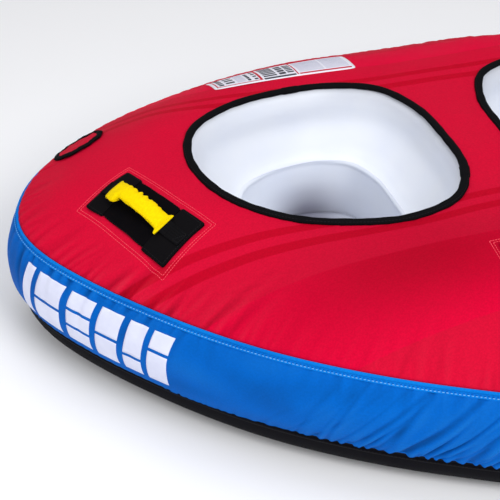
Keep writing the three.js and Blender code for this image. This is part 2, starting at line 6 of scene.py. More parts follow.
import bpy
import numpy as np
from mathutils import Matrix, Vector, geometry
from mathutils.bvhtree import BVHTree


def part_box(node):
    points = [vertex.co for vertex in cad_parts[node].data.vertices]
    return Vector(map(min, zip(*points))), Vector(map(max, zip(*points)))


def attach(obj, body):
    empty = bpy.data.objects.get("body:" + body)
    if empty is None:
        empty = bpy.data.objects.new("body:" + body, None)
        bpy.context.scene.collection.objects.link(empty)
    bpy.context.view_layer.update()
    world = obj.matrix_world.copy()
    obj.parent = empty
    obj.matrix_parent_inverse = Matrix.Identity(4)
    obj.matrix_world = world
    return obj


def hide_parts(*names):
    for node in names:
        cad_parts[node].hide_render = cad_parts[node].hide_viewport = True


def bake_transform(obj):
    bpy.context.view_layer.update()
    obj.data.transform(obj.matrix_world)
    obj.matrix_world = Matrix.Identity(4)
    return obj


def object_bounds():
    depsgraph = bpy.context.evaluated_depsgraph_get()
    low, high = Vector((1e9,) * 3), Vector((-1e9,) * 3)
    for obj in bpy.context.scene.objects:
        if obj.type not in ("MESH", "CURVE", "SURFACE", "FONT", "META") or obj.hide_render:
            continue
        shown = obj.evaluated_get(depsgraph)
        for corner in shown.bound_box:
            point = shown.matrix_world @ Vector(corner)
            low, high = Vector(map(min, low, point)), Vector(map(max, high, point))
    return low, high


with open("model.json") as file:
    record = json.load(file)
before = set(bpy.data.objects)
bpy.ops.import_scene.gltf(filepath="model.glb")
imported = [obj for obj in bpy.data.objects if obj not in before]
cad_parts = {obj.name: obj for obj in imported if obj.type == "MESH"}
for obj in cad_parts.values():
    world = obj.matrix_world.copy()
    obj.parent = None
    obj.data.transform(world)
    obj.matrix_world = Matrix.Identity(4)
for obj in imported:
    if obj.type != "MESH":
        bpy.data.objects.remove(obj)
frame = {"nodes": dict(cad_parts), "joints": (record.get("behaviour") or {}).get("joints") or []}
cad_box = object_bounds()
NODES = frame["nodes"]
ROOT = "tube"
CHAMBERS = sorted(name for name in NODES if name.startswith("chamber_"))
TURN = 2 * math.pi
UP = np.array([0.0, 0.0, 1.0])
BLACK = (0.0, 0.0, 0.0, 1.0)
SIDES = ("left", "right")

# ------------------------------------------------------------------ sizes shared with the CAD part
CENTRE = np.array([0.0, 0.018])  # middle of the plan, used for polar sampling
CAD_FACETS = 64
SHOULDER_RUN = 0.310
SHOULDER_POWER = 2.5
DECK_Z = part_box("cover_top_panel")[1].z
UPPER_SEAM_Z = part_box("cover_side_band")[1].z
LOWER_SEAM_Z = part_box("cover_side_band")[0].z
PIPING_RADIUS = 0.0065
TAPE_HALF = np.array([0.0082, 0.0052])  # the flat tape sewn over the piping cord: half width, half height
TAPE_SLIDE = 0.0018
COVER_THICKNESS = 0.0014
COCKPIT_CENTRE = np.array([-0.290, 0.083])
WELD_Z = 0.206
WELD_SCALE = np.array([0.60, 0.72])
SEAT_SCALE = np.array([0.62, 0.74])
SEAT_TOP_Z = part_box("seat_floor_left")[1].z
# The strap's arch, its middle GRIP_SLIDE aft of the patch's: (along, above the deck) in millimetres.
STRAP_ARCH = [(-79, 7.0), (-74, 8.0), (-68, 9.8), (-54, 14.5), (-32, 23.5), (-5, 29.5), (20, 30), (34, 27.5),
              (52, 22.5), (68, 17.5), (75, 13.5), (86, 8.2)]
STRAP_ANCHORS = {"rear": [(104.5, 3.2), (101, 3.2), (98.5, 4), (95, 5.6)],
                 "front": [(-102, 3.2), (-78, 3.2), (-70, 3.4), (-63, 4.5)]}
GRIP_SLIDE = 0.010
HINGE_HEIGHT = 0.011  # of a handle's lean above the deck
GRIP_HALF = 0.068
PATCH_TOP = 0.0034
PATCH_HALF = np.array([0.106, 0.049])
KNUCKLE_HALF = np.array([0.056, 0.0455])
KNUCKLE_SLIDE = 0.007
COVER_TOP = 0.0056  # top of the layers sewn over the patch's ends
# Where the layers sewn over the patch's ends begin and end, and where its narrower waist does.
LAYER_ENDS = {"front": (-0.1057, -0.0492), "rear": (0.0632, 0.1057)}
# Where each half of the strap's arch is held by the tube and where it is free to lean.
ARCH_HELD = {"rear": (0.090, 0.072), "front": (-0.063, -0.045)}
ANCHOR_HELD = {"rear": (0.101, 0.0955), "front": (-0.090, -0.066)}
BARTACK = {"rear": (0.1005, 0.0030), "front": (-0.0930, 0.0065)}  # place along the strap, half length
# Half-widths of the sleeve, (along, width) in millimetres, on its outboard side and its cockpit side.
SLEEVE_OUTBOARD = [(-68, 27), (-63, 26), (-59, 19), (-45, 18), (0, 17), (33, 16), (37, 18), (41, 27),
                   (48, 28), (68, 23.5)]
SLEEVE_INBOARD = [(-68, 26), (-63, 24), (-60, 19), (-50, 20), (-32, 20.5), (0, 18.5), (34, 19.5), (50, 20),
                  (60, 19.5), (68, 23.5)]
# Sewing: distance from stitch to stitch, length and radius of each.
STITCH = {"upper_seam": (0.0066, 0.0040, 0.00060), "lower_seam": (0.0065, 0.0045, 0.00045),
          "piping": (0.0062, 0.0042, 0.0004), "patch": (0.0050, 0.0042, 0.00075),
          "hem": (0.0055, 0.0040, 0.0004), "bartack": (0.0034, 0.0026, 0.0004),
          "sleeve": (0.0045, 0.0034, 0.00045),
          "flap": (0.0045, 0.0032, 0.0004), "zipper": (0.0050, 0.0038, 0.0004)}


# ------------------------------------------------------------------ curves
def unit(vectors):
    return vectors / (np.linalg.norm(vectors, axis=-1, keepdims=True) + 1e-12)


def travelled(path):
    """Distance along a path from its first point to each of its points."""
    return np.append(0, np.cumsum(np.linalg.norm(np.diff(path, axis=0), axis=1)))


def onward(line):
    """Directions along a closed line of points."""
    return unit(np.roll(line, -1, 0) - np.roll(line, 1, 0))


def rightward(line):
    """Level directions to the right of a closed line of points."""
    ahead = np.roll(line, -1, 0) - np.roll(line, 1, 0)
    side = np.zeros_like(ahead)
    side[:, 0], side[:, 1] = ahead[:, 1], -ahead[:, 0]
    return unit(side)


def squared(values, power):
    """Values from -1 to 1 pushed outwards, which turns a circle towards a square."""
    return np.sign(values) * np.abs(values) ** power


def closed_spline(knots, values, period=TURN):
    """A smooth closed curve through the values at the knots, as a function of the same parameter."""
    values = np.asarray(values, float).reshape(len(knots), -1)
    count = len(knots)
    starts = np.asarray(knots) - knots[0]
    gaps = np.diff(np.append(starts, period))
    matrix, right = np.zeros((count, count)), np.zeros(values.shape)
    for i in range(count):
        before, after = gaps[i - 1], gaps[i]
        matrix[i, i - 1] += 1 / before
        matrix[i, i] += 2 / before + 2 / after
        matrix[i, (i + 1) % count] += 1 / after
        rise = (values[i] - values[i - 1]) / before**2
        right[i] = 3 * (rise + (values[(i + 1) % count] - values[i]) / after**2)
    slopes = np.linalg.solve(matrix, right)

    def at(where):
        where = (np.asarray(where, float) - knots[0]) % period
        shape = where.shape
        where = where.ravel()
        i = np.clip(np.searchsorted(starts, where, side="right") - 1, 0, count - 1)
        j, gap = (i + 1) % count, gaps[i][:, None]
        t = (where - starts[i])[:, None] / gap
        out = (2 * t**3 - 3 * t**2 + 1) * values[i] + (t**3 - 2 * t**2 + t) * gap * slopes[i]
        out += (3 * t**2 - 2 * t**3) * values[j] + (t**3 - t**2) * gap * slopes[j]
        return out.reshape(shape) if values.shape[1] == 1 else out.reshape(*shape, -1)

    return at


def smooth_path(points, count):
    """An open smooth path through the points, resampled at even spacing."""
    p = np.asarray(points, float)
    p = np.vstack([2 * p[0] - p[1], p, 2 * p[-1] - p[-2]])
    out = []
    for i in range(1, len(p) - 2):
        a, b, c, d = p[i - 1 : i + 3]
        for t in np.linspace(0, 1, 24, endpoint=False):
            out.append(0.5 * (2 * b + (c - a) * t + (2 * a - 5 * b + 4 * c - d) * t**2
                              + (3 * b - a - 3 * c + d) * t**3))
    return resample(np.array(out + [p[-2]]), count)


def resample(path, count):
    along = travelled(path)
    even = np.linspace(0, along[-1], count)
    return np.stack([np.interp(even, along, path[:, k]) for k in range(path.shape[1])], -1)


def ease(x, low, high):
    """0 below low, 1 above high, a smooth rise between."""
    t = np.clip((np.asarray(x, float) - low) / (high - low), 0, 1)
    return t * t * (3 - 2 * t)


# ------------------------------------------------------------------ the tube's own surfaces
def vertices(node):
    mesh = NODES[node].data
    flat = np.zeros(3 * len(mesh.vertices), np.float32)
    mesh.vertices.foreach_get("co", flat)
    return flat.reshape(-1, 3).astype(float)


def polar(x, y):
    dx, dy = np.asarray(x, float) - CENTRE[0], np.asarray(y, float) - CENTRE[1]
    return np.arctan2(dy, dx) % TURN, np.hypot(dx, dy)


def outer_ring(node, low, high):
    """Angle and radius of a CAD node's outermost vertex in each facet, between two heights."""
    points = vertices(node)
    points = points[(points[:, 2] >= low) & (points[:, 2] <= high)]
    angle, radius = polar(points[:, 0], points[:, 1])
    facet = np.round(angle / TURN * CAD_FACETS - 0.5).astype(int) % CAD_FACETS
    best = [np.flatnonzero(facet == k) for k in range(CAD_FACETS)]
    best = [own[np.argmax(radius[own])] for own in best]
    return angle[best], radius[best]


seam_at = closed_spline(*outer_ring("cover_top_panel", UPPER_SEAM_Z, UPPER_SEAM_Z + 0.002))


def offset_at(node, z, spread=0.0006):
    """How far a CAD skin stands outside the upper seam at a height, on average round the tube."""
    angle, radius = outer_ring(node, z - spread, z + spread)
    return float(np.mean(radius - seam_at(angle)))


def inside(x, y):
    """How far plan points lie inside the upper seam."""
    angle, radius = polar(x, y)
    return seam_at(angle) - radius


def deck(x, y):
    """Height of the top panel's smooth shape."""
    share = np.clip(1 - inside(x, y) / SHOULDER_RUN, 0, None)
    return DECK_Z - (DECK_Z - UPPER_SEAM_Z) * share**SHOULDER_POWER


def deck_normal(x, y, step=0.02):
    slope_x = (deck(x + step, y) - deck(x - step, y)) / (2 * step)
    slope_y = (deck(x, y + step) - deck(x, y - step)) / (2 * step)
    return unit(np.stack([-slope_x, -slope_y, np.ones_like(slope_x)], -1))


angles = np.linspace(0, TURN, 4097)
seam_line = seam_at(angles)[:, None] * np.stack([np.cos(angles), np.sin(angles)], -1)
seam_run = travelled(seam_line)
GIRTH = seam_run[-1]


def run_of(angle):
    """Distance along the seam at an angle round the plan; angle_of turns it back."""
    return np.interp(np.asarray(angle) % TURN, angles, seam_run)


def angle_of(run):
    return np.interp(np.asarray(run) % GIRTH, seam_run, angles)


def from_bow(angle):
    """Degrees round from the bow, 0 at the bow to 180 at the stern, alike on both sides."""
    return np.abs((np.degrees(angle) - 270 + 180) % 360 - 180)


def ring_points(angle, radius, z):
    return np.stack([CENTRE[0] + radius * np.cos(angle), CENTRE[1] + radius * np.sin(angle),
                     z + 0 * radius], -1)


# ------------------------------------------------------------------ creases
def creases(run, away, seed, spacing, depth, width, reach, where, lean=None):
    """Depths of the creases that run away from a seam: run along the seam, away from it."""
    rng = np.random.default_rng(seed)
    total, place = np.zeros_like(run), 0.0
    while place < GIRTH:
        strength = float(where(from_bow(angle_of(place))))
        draws = rng.uniform(0, 1, 4)
        tilt = (0 if lean is None else float(lean(angle_of(place)))) + 0.5 * (draws[3] - 0.5)
        if strength > 0.04:
            wide, far = width * (0.7 + 0.8 * draws[0]), reach * (0.4 + 0.9 * draws[1])
            across = (run - place - tilt * away + GIRTH / 2) % GIRTH - GIRTH / 2
            near = (np.abs(across) < 5 * wide) & (away < 2 * far)
            x = across[near] / wide
            fold = -np.exp(-x**2) + 0.5 * np.exp(-((x - 1.8) / 1.3)**2) + 0.3 * np.exp(-((x + 1.8) / 1.3)**2)
            total[near] += depth * strength * (0.45 + 0.75 * draws[2]) * fold * np.exp(-(away[near] / far)**2)
        place += spacing * rng.uniform(0.55, 1.5)
    return total


def ramp(*pairs):
    """A function that runs straight between (degrees from the bow, value) pairs."""
    x, y = zip(*pairs)
    return lambda degrees: np.interp(degrees, x, y)


def swell(x, y, seed, size, count=14):
    """Soft uneven swelling about 1 high, from waves in random directions."""
    rng = np.random.default_rng(seed)
    total = np.zeros(np.shape(x))
    for _ in range(count):
        way, length, phase = rng.uniform(0, TURN), size * rng.uniform(0.6, 1.8), rng.uniform(0, TURN)
        total += np.sin(TURN * (x * math.cos(way) + y * math.sin(way)) / length + phase)
    return total / math.sqrt(count)


# ------------------------------------------------------------------ meshes
def faces_outward(points, faces):
    """The same faces, turned round if they close a volume from the inside."""
    volume, edges = 0.0, []
    for size in {len(face) for face in faces}:
        group = np.array([face for face in faces if len(face) == size])
        edges.append(np.stack([group, np.roll(group, -1, 1)], -1).reshape(-1, 2))
        first = points[group[:, 0]]
        for k in range(1, size - 1):
            volume += np.sum(first * np.cross(points[group[:, k]], points[group[:, k + 1]]))
    edges = np.concatenate(edges)
    ahead, back = edges @ [len(points), 1], edges @ [1, len(points)]
    closed = np.array_equal(np.sort(ahead), np.sort(back))
    return [face[::-1] for face in faces] if closed and volume < 0 else faces


def new_mesh(name, points, faces, material, smooth=True, body=ROOT, **attributes):
    mesh = bpy.data.meshes.new(name)
    points = np.asarray(points, float)
    mesh.from_pydata(points.tolist(), [], faces_outward(points, faces))
    mesh.validate()
    for key, values in attributes.items():
        values = np.asarray(values, np.float32)
        kind = "FLOAT" if values.ndim == 1 else "FLOAT_VECTOR"
        data = mesh.attributes.new(key, kind, "POINT").data
        data.foreach_set("value" if kind == "FLOAT" else "vector", values.ravel())
    mesh.polygons.foreach_set("use_smooth", [smooth] * len(mesh.polygons))
    mesh.materials.append(material)
    obj = bpy.data.objects.new(name, mesh)
    bpy.context.scene.collection.objects.link(obj)
    if body:
        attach(obj, body)
    return obj


def grid_faces(rows, cols, wrap_rows=False, wrap_cols=False, start=0):
    r = np.arange(rows if wrap_rows else rows - 1)[:, None]
    c = np.arange(cols if wrap_cols else cols - 1)[None, :]
    r2, c2 = (r + 1) % rows, (c + 1) % cols
    quads = np.stack([r * cols + c, r * cols + c2, r2 * cols + c2, r2 * cols + c], -1)
    return (quads.reshape(-1, 4) + start).tolist()


def ribbon(name, grid, material, wrap_rows=False, wrap_cols=False, caps=False, flip=False, **more):
    """A mesh over a grid of points (rows, columns, 3); caps close the first and last row."""
    rows, cols = grid.shape[:2]
    faces = grid_faces(rows, cols, wrap_rows, wrap_cols)
    if caps:
        faces += [list(range(cols))[::-1], [(rows - 1) * cols + c for c in range(cols)]]
    if flip:
        faces = [face[::-1] for face in faces]
    for key in [k for k, v in more.items() if isinstance(v, np.ndarray)]:
        more[key] = more[key].reshape(rows * cols, *more[key].shape[2:])
    return new_mesh(name, grid.reshape(-1, 3), faces, material, **more)


def slab_faces(rows, cols, start=0):
    """Faces of a closed solid between two grids, the lower one's points listed after the upper one's."""
    size = rows * cols
    edge = [(0, c) for c in range(cols - 1)] + [(r, cols - 1) for r in range(rows - 1)]
    edge += [(rows - 1, c) for c in range(cols - 1, 0, -1)] + [(r, 0) for r in range(rows - 1, 0, -1)]
    loop = [start + r * cols + c for r, c in edge]
    faces = grid_faces(rows, cols, start=start)
    faces += [f[::-1] for f in grid_faces(rows, cols, start=start + size)]
    return faces + [[b, a, a + size, b + size] for a, b in zip(loop, loop[1:] + loop[:1])]


def slab(name, top, bottom, material, **more):
    points = np.vstack([top.reshape(-1, 3), bottom.reshape(-1, 3)])
    return new_mesh(name, points, slab_faces(*top.shape[:2]), material, **more)


def closed_loft(name, centre, out, up, section, material, **more):
    """A closed tube: section gives (outward, upward) offsets at each station."""
    section = np.broadcast_to(section, (len(centre), *np.shape(section)[-2:]))
    grid = centre[:, None] + section[..., :1] * out[:, None] + section[..., 1:] * up[:, None]
    cloth = np.stack(np.broadcast_arrays(travelled(centre)[:, None], travelled(section[0])[None], 0.0), -1)
    return ribbon(name, grid, material, wrap_rows=True, wrap_cols=True, cloth=cloth, **more)


def circle(count):
    a = np.linspace(0, TURN, count, endpoint=False)
    return np.stack([np.cos(a), np.sin(a)], -1)


def thicken(obj, thickness, offset=-1.0):
    mod = obj.modifiers.new("thickness", "SOLIDIFY")
    mod.thickness, mod.offset = thickness, offset
    return obj


def stitches(name, line, normal, sewing, material, closed=True, **more):
    """Rows of short sewn stitches lying along a line of points with surface normals."""
    pitch, length, radius = STITCH[sewing]
    if closed:
        line, normal = np.vstack([line, line[:1]]), np.vstack([normal, normal[:1]])
    along = travelled(line)
    count = max(1, int(along[-1] / pitch))
    middle = (np.arange(count) + 0.5) * along[-1] / count

    def at(where, values):
        return np.stack([np.interp(where, along, values[:, k]) for k in range(3)], -1)

    centre, up = at(middle, line), at(middle, normal)
    ahead = unit(at(middle + length / 2, line) - at(middle - length / 2, line))
    side = unit(np.cross(ahead, up))
    points, faces, sides = [], [], 5
    rings = [(-0.5, 0.3), (-0.32, 0.95), (0.32, 0.95), (0.5, 0.3)]  # share of the length, share of the radius
    across, over = circle(sides).T[:, None, :, None]
    for share, scale in rings:
        ring = centre[:, None] + ahead[:, None] * share * length
        points.append(ring + radius * scale * (across * side[:, None] + over * up[:, None]))
    points = np.stack(points, 1).reshape(-1, 3)
    block = len(rings) * sides
    for n in range(count):
        faces += grid_faces(len(rings), sides, wrap_cols=True, start=n * block)
        faces.append([n * block + k for k in range(sides)][::-1])
        faces.append([n * block + (len(rings) - 1) * sides + k for k in range(sides)])
    return new_mesh(name, points, faces, material, **more)


# ------------------------------------------------------------------ materials
def colour(red, green, blue):
    """0 to 255 screen colour to the linear numbers a shader takes."""
    linear = [(c / 255) / 12.92 if c < 11 else ((c / 255 + 0.055) / 1.055) ** 2.4
              for c in (red, green, blue)]
    return (*linear, 1.0)


class Maker:
    """A material under construction: nodes are added by type, sockets linked by name."""

    def __init__(self, name, **fixed):
        self.material = bpy.data.materials.new(name)
        self.material.use_nodes = True
        self.tree = self.material.node_tree
        self.shader = self.tree.nodes["Principled BSDF"]
        for socket, value in fixed.items():
            self.shader.inputs[socket.replace("_", " ")].default_value = value

    def node(self, kind, out=0, settings=(), **inputs):
        made = self.tree.nodes.new("ShaderNode" + kind)
        for key, value in dict(settings).items():
            setattr(made, key, value)
        for key, value in inputs.items():
            self.put(made.inputs[int(key[1:]) if key[1:].isdigit() else key.replace("_", " ")], value)
        return made.outputs[out]

    def put(self, socket, value):
        if isinstance(value, bpy.types.NodeSocket):
            self.tree.links.new(value, socket)
        else:
            socket.default_value = value

    def to_shader(self, **inputs):
        for key, value in inputs.items():
            self.put(self.shader.inputs[key.replace("_", " ")], value)

    def math(self, operation, a, b):
        return self.node("Math", settings={"operation": operation}, i0=a, i1=b)

    def mix(self, share, a, b):
        made = self.tree.nodes.new("ShaderNodeMix")
        made.data_type = "RGBA"
        for index, value in ((0, share), (6, a), (7, b)):
            self.put(made.inputs[index], value)
        return made.outputs[2]

    def spread(self, value, low, high, to_low=0.0, to_high=1.0):
        return self.node("MapRange", settings={"clamp": True}, Value=value, From_Min=low,
                         From_Max=high, To_Min=to_low, To_Max=to_high)

    def position(self):
        return self.node("TexCoord", out=3)

    def attribute(self, name, out=1):
        return self.node("Attribute", out=out, settings={"attribute_name": name})

    def noise(self, vector, size, detail=3.0, roughness=0.55):
        return self.node("TexNoise", Vector=vector, Scale=1 / size, Detail=detail, Roughness=roughness)

    def waves(self, vector, pitch, axis, distortion=0.0):
        return self.node("TexWave", out=1,
                         settings={"wave_type": "BANDS", "bands_direction": axis, "wave_profile": "SIN"},
                         Vector=vector, Scale=TURN / 20 / pitch, Distortion=distortion)

    def bump(self, height, strength, distance, normal=None):
        inputs = {"Height": height, "Strength": strength, "Distance": distance}
        if normal is not None:
            inputs["Normal"] = normal
        return self.node("Bump", **inputs)

    def painted_crease_shading(self, tint):
        """Painted shade down the creases and a painted highlight along their crests, from the fold attribute.
        """
        fold = self.attribute("fold", out=2)
        tint = self.mix(self.spread(fold, -1.0, 0.0, 0.42, 0.0), tint, BLACK)
        # the pale blue mixed in on the crests is a painted highlight
        return self.mix(self.spread(fold, 0.0, 1.0, 0.0, 0.10), tint, (0.05, 0.45, 1.0, 1.0))

    def weave(self, vector, pitch):
        """Plain weave: threads over and under in two directions."""
        warp, weft = self.waves(vector, pitch, "X"), self.waves(vector, pitch, "Y")
        return self.math("MAXIMUM", warp, weft)


def cloth_material(name, base, shade, pitch=0.0013, attribute=None, strength=0.35):
    """Woven nylon: threads, slubs and patchy dye, with painted shade and highlight along its creases."""
    m = Maker(name, Specular_IOR_Level=0.05)
    cloth = m.attribute(attribute) if attribute else m.position()
    patchy = m.noise(m.position(), 0.14, 4.0)
    threads = m.weave(cloth, pitch)
    slubs = m.noise(cloth, 0.004, 2.0)
    tint = m.mix(m.spread(patchy, 0.3, 0.7), shade, base)
    tint = m.mix(m.spread(threads, 0.0, 1.0, 0.10, 0.0), tint, BLACK)
    tint = m.mix(m.spread(slubs, 0.35, 0.65, 0.0, 0.10), tint, BLACK)
    # painted shade down the creases and painted highlight on their crests
    tint = m.painted_crease_shading(tint)
    fuzz = m.bump(slubs, 0.10, 0.0006)
    m.to_shader(Base_Color=tint, Roughness=m.spread(patchy, 0.3, 0.7, 0.62, 0.78),
                Normal=m.bump(threads, strength, 0.0004, fuzz))
    return m


def red_cover():
    """Red nylon with its printed bands, which run across the tube in front of and behind the seats, with
    painted shade over the deck ahead of the seats and along its creases.
    """
    m = cloth_material("red_nylon", colour(208, 14, 50), colour(200, 20, 52))
    dull = m.mix(m.spread(m.noise(m.position(), 0.3), 0.3, 0.7), colour(206, 12, 50), colour(213, 8, 51))
    # the darker red is painted shade, mixed into the wide band by the shade mask
    rich, deep = colour(226, 0, 56), colour(196, 0, 40)
    front, rear, shade = m.node("SeparateXYZ", Vector=m.attribute("print")).node.outputs
    edge = 0.0012

    def band(value, low, high):
        rise = m.spread(value, low - edge, low + edge)
        return m.math("MULTIPLY", rise, m.spread(value, high - edge, high + edge, 1.0, 0.0))

    # the first two print numbers are metres ahead of, or behind, the two thin stripes; the third is a painted
    # shade mask
    thin = m.math("ADD", band(front, -0.009, 0.009), band(front, 0.028, 0.046))
    thin = m.math("ADD", thin, m.math("ADD", band(rear, -0.009, 0.009), band(rear, 0.028, 0.044)))
    ink = m.mix(thin, dull, colour(192, 0, 36))
    wide = m.math("ADD", band(front, 0.107, 0.272), band(rear, 0.098, 0.190))
    # painted shade: the shade mask darkens the wide band to the darker red, then the whole area towards black
    ink = m.mix(wide, ink, m.mix(shade, rich, deep))
    ink = m.mix(m.math("MULTIPLY", shade, 0.24), ink, BLACK)
    threads, slubs = m.weave(m.position(), 0.0013), m.noise(m.position(), 0.0035, 2.0)
    ink = m.mix(m.spread(threads, 0.0, 1.0, 0.08, 0.0), ink, BLACK)
    ink = m.mix(m.spread(slubs, 0.35, 0.65, 0.0, 0.12), ink, BLACK)
    # painted shade down the creases and a faint pink painted highlight along their crests
    fold = m.attribute("fold", out=2)
    ink = m.mix(m.spread(fold, -1.0, 0.0, 0.36, 0.0), ink, BLACK)
    m.to_shader(Base_Color=m.mix(m.spread(fold, 0.0, 1.0, 0.0, 0.02), ink, (1.0, 0.5, 0.6, 1.0)))
    return m.material


def grained(name, base, dark, rough, size, grain, shine):
    """A moulded or coated surface: fine grain, faint blotches, roughness that wanders."""
    m = Maker(name, Specular_IOR_Level=shine)
    blotch, fine = m.noise(m.position(), size, 3.0), m.noise(m.position(), 0.0012, 2.0)
    m.to_shader(Base_Color=m.mix(m.spread(blotch, 0.35, 0.7), dark, base),
                Roughness=m.spread(blotch, 0.3, 0.7, *rough), Normal=m.bump(fine, grain, 0.0003))
    return m.material


def white_pvc():
    """White coated fabric, its lowest parts greyed by painted shade from an attribute."""
    m = Maker("white_pvc", Specular_IOR_Level=0.3)
    blotch, fine = m.noise(m.position(), 0.12, 3.0), m.noise(m.position(), 0.0012, 2.0)
    base = m.mix(m.spread(blotch, 0.35, 0.7), colour(239, 244, 255), colour(244, 248, 255))
    # painted shade: the well's shade attribute mixes in a dark grey-violet
    m.to_shader(Base_Color=m.mix(m.attribute("deep", out=2), base, colour(88, 84, 104)),
                Roughness=m.spread(blotch, 0.3, 0.7, 0.34, 0.48), Normal=m.bump(fine, 0.10, 0.0003))
    return m.material


def metal(name, base, rough):
    m = Maker(name, Metallic=1.0)
    streak = m.noise(m.node("Mapping", Vector=m.position(), Scale=(900.0, 60.0, 60.0)), 1.0, 2.0)
    m.to_shader(Base_Color=m.mix(m.spread(streak, 0.3, 0.7, 0.0, 0.3), base, colour(70, 70, 72)),
                Roughness=m.spread(streak, 0.3, 0.7, rough, rough + 0.18),
                Normal=m.bump(streak, 0.08, 0.0002))
    return m.material


def webbing_material(name, base, dark):
    """Ribbed polyester webbing: ribs across, fine cords along."""
    m = Maker(name, Specular_IOR_Level=0.05)
    cloth = m.attribute("cloth")
    across = m.math("MULTIPLY", m.waves(cloth, 0.0016, "Y"), 0.8)
    ribs = m.math("MAXIMUM", m.waves(cloth, 0.0022, "X"), across)
    m.to_shader(Base_Color=m.mix(m.spread(ribs, 0.2, 1.0), dark, base), Roughness=0.8,
                Normal=m.bump(ribs, 0.6, 0.0006))
    return m.material


# Woven cloths: material name, brighter and duller screen colour, how it differs from plain nylon.
CLOTHS = {
    "red_plain": ("red_nylon_plain", (210, 16, 52), (198, 18, 50), {"attribute": None}),
    "blue": ("blue_nylon", (0, 103, 202), (0, 95, 189), {}),
    "hem": ("blue_nylon_hem", (10, 128, 224), (0, 112, 210), {"pitch": 0.0011}),
    "black": ("black_nylon", (15, 14, 20), (10, 9, 14), {"pitch": 0.0017}),
    "patch": ("black_patch_nylon", (13, 11, 14), (8, 7, 10), {"pitch": 0.0015}),
    "grip": ("yellow_nylon", (255, 224, 0), (250, 214, 0), {"pitch": 0.0012, "strength": 0.45}),
}
# Moulded, coated, printed and thread surfaces: material name, lighter and darker screen colour, range of
# roughness, size of the blotches, strength of the grain, specular level.
COATINGS = {
    "neoprene": ("neoprene", (10, 8, 11), (6, 5, 8), (0.8, 0.95), 0.03, 0.5, 0.04),
    "weld": ("white_pvc_weld", (238, 241, 252), (228, 232, 246), (0.3, 0.4), 0.05, 0.12, 0.5),
    "ink": ("white_ink", (228, 231, 250), (218, 221, 243), (0.5, 0.62), 0.04, 0.2, 0.15),
    "label": ("label_vinyl", (240, 240, 250), (232, 232, 244), (0.35, 0.5), 0.05, 0.1, 0.15),
    "label_grey": ("label_grey_ink", (66, 66, 78), (48, 48, 60), (0.4, 0.5), 0.02, 0.1, 0.15),
    "label_pale": ("label_pale_ink", (214, 214, 228), (204, 204, 220), (0.4, 0.5), 0.02, 0.1, 0.15),
    "label_red": ("label_red_ink", (206, 26, 52), (190, 20, 44), (0.4, 0.5), 0.02, 0.1, 0.15),
    "pale_thread": ("pale_blue_thread", (150, 205, 245), (110, 180, 235), (0.5, 0.6), 0.01, 0.25, 0.15),
    "blue_thread": ("blue_thread", (0, 84, 176), (0, 70, 156), (0.5, 0.6), 0.01, 0.25, 0.15),
    "pink_thread": ("pink_thread", (250, 84, 104), (240, 62, 86), (0.5, 0.6), 0.01, 0.25, 0.15),
    "black_thread": ("black_thread", (34, 34, 38), (24, 24, 28), (0.5, 0.7), 0.01, 0.25, 0.15),
    "yellow_thread": ("yellow_thread", (214, 196, 20), (190, 170, 10), (0.5, 0.7), 0.01, 0.25, 0.15),
    "plastic": ("black_moulded_nylon", (30, 30, 33), (20, 20, 23), (0.42, 0.6), 0.03, 0.35, 0.5),
    "valve": ("white_moulded_pvc", (228, 230, 240), (214, 217, 230), (0.3, 0.42), 0.02, 0.12, 0.5),
}
MAT = {
    "red": red_cover(),
    "pvc": white_pvc(),
    "piping": webbing_material("black_piping_tape", colour(17, 17, 20), colour(5, 5, 7)),
    "webbing": webbing_material("black_webbing", colour(17, 16, 19), colour(6, 6, 8)),
    "steel": metal("stainless_steel", colour(186, 188, 192), 0.22),
    "brass": metal("plated_brass", colour(196, 160, 92), 0.28),
}
for key, (title, bright, dull, changes) in CLOTHS.items():
    settings = {"attribute": "cloth", **changes}
    MAT[key] = cloth_material(title, colour(*bright), colour(*dull), **settings).material
for key, (title, light, dark, *surface) in COATINGS.items():
    MAT[key] = grained(title, colour(*light), colour(*dark), *surface)


# ------------------------------------------------------------------ cockpit rims
def rim_spline(node):
    """The crest line of a cockpit's piping, as a closed curve of its share round the rim."""
    points = vertices(node)
    top = points[points[:, 2] > points[:, 2].max() - 0.0005][:, :2]
    middle = top.mean(0)
    away = top - middle
    angle = np.arctan2(away[:, 1], away[:, 0]) % TURN
    order = np.argsort(angle)
    keep = order[np.append(True, np.diff(angle[order]) > 0.01)]
    return closed_spline(angle[keep], top[keep])


RIM_STEPS = 288
rims = {}
for side in SIDES:
    dense = rim_spline(f"cockpit_piping_{side}")(np.linspace(0, TURN, 4000, endpoint=False))
    crest = resample(np.vstack([dense, dense[:1]]), RIM_STEPS + 1)[:-1]
    out = rightward(crest)
    centre = COCKPIT_CENTRE * (1 if side == "left" else -1, 1)
    away = crest + out * PIPING_RADIUS - centre
    angle = np.arctan2(away[:, 1], away[:, 0]) % TURN
    order = np.argsort(angle)
    rims[side] = {"crest": crest, "out": out, "centre": centre,
                  "edge": closed_spline(angle[order], np.hypot(*away.T)[order])}


def rim_distance(side, x, y):
    """Distance outside a cockpit's rim, about, along the ray from its middle."""
    rim = rims[side]
    dx, dy = x - rim["centre"][0], y - rim["centre"][1]
    return np.hypot(dx, dy) - rim["edge"](np.arctan2(dy, dx) % TURN)


# ------------------------------------------------------------------ top cover
# The front and rear printed stripes: (x, y) of points along them on the port side, mirrored to starboard.
FRONT_STRIPE = [(-0.95, -0.110), (-0.72, -0.112), (-0.57, -0.119), (-0.45, -0.127), (-0.34, -0.135),
                (-0.22, -0.137), (-0.10, -0.126), (0.0, -0.123)]
REAR_STRIPE = [(-0.95, 0.352), (-0.62, 0.342), (-0.53, 0.329), (-0.44, 0.307), (-0.30, 0.292),
               (-0.18, 0.284), (-0.10, 0.280), (0.0, 0.279)]


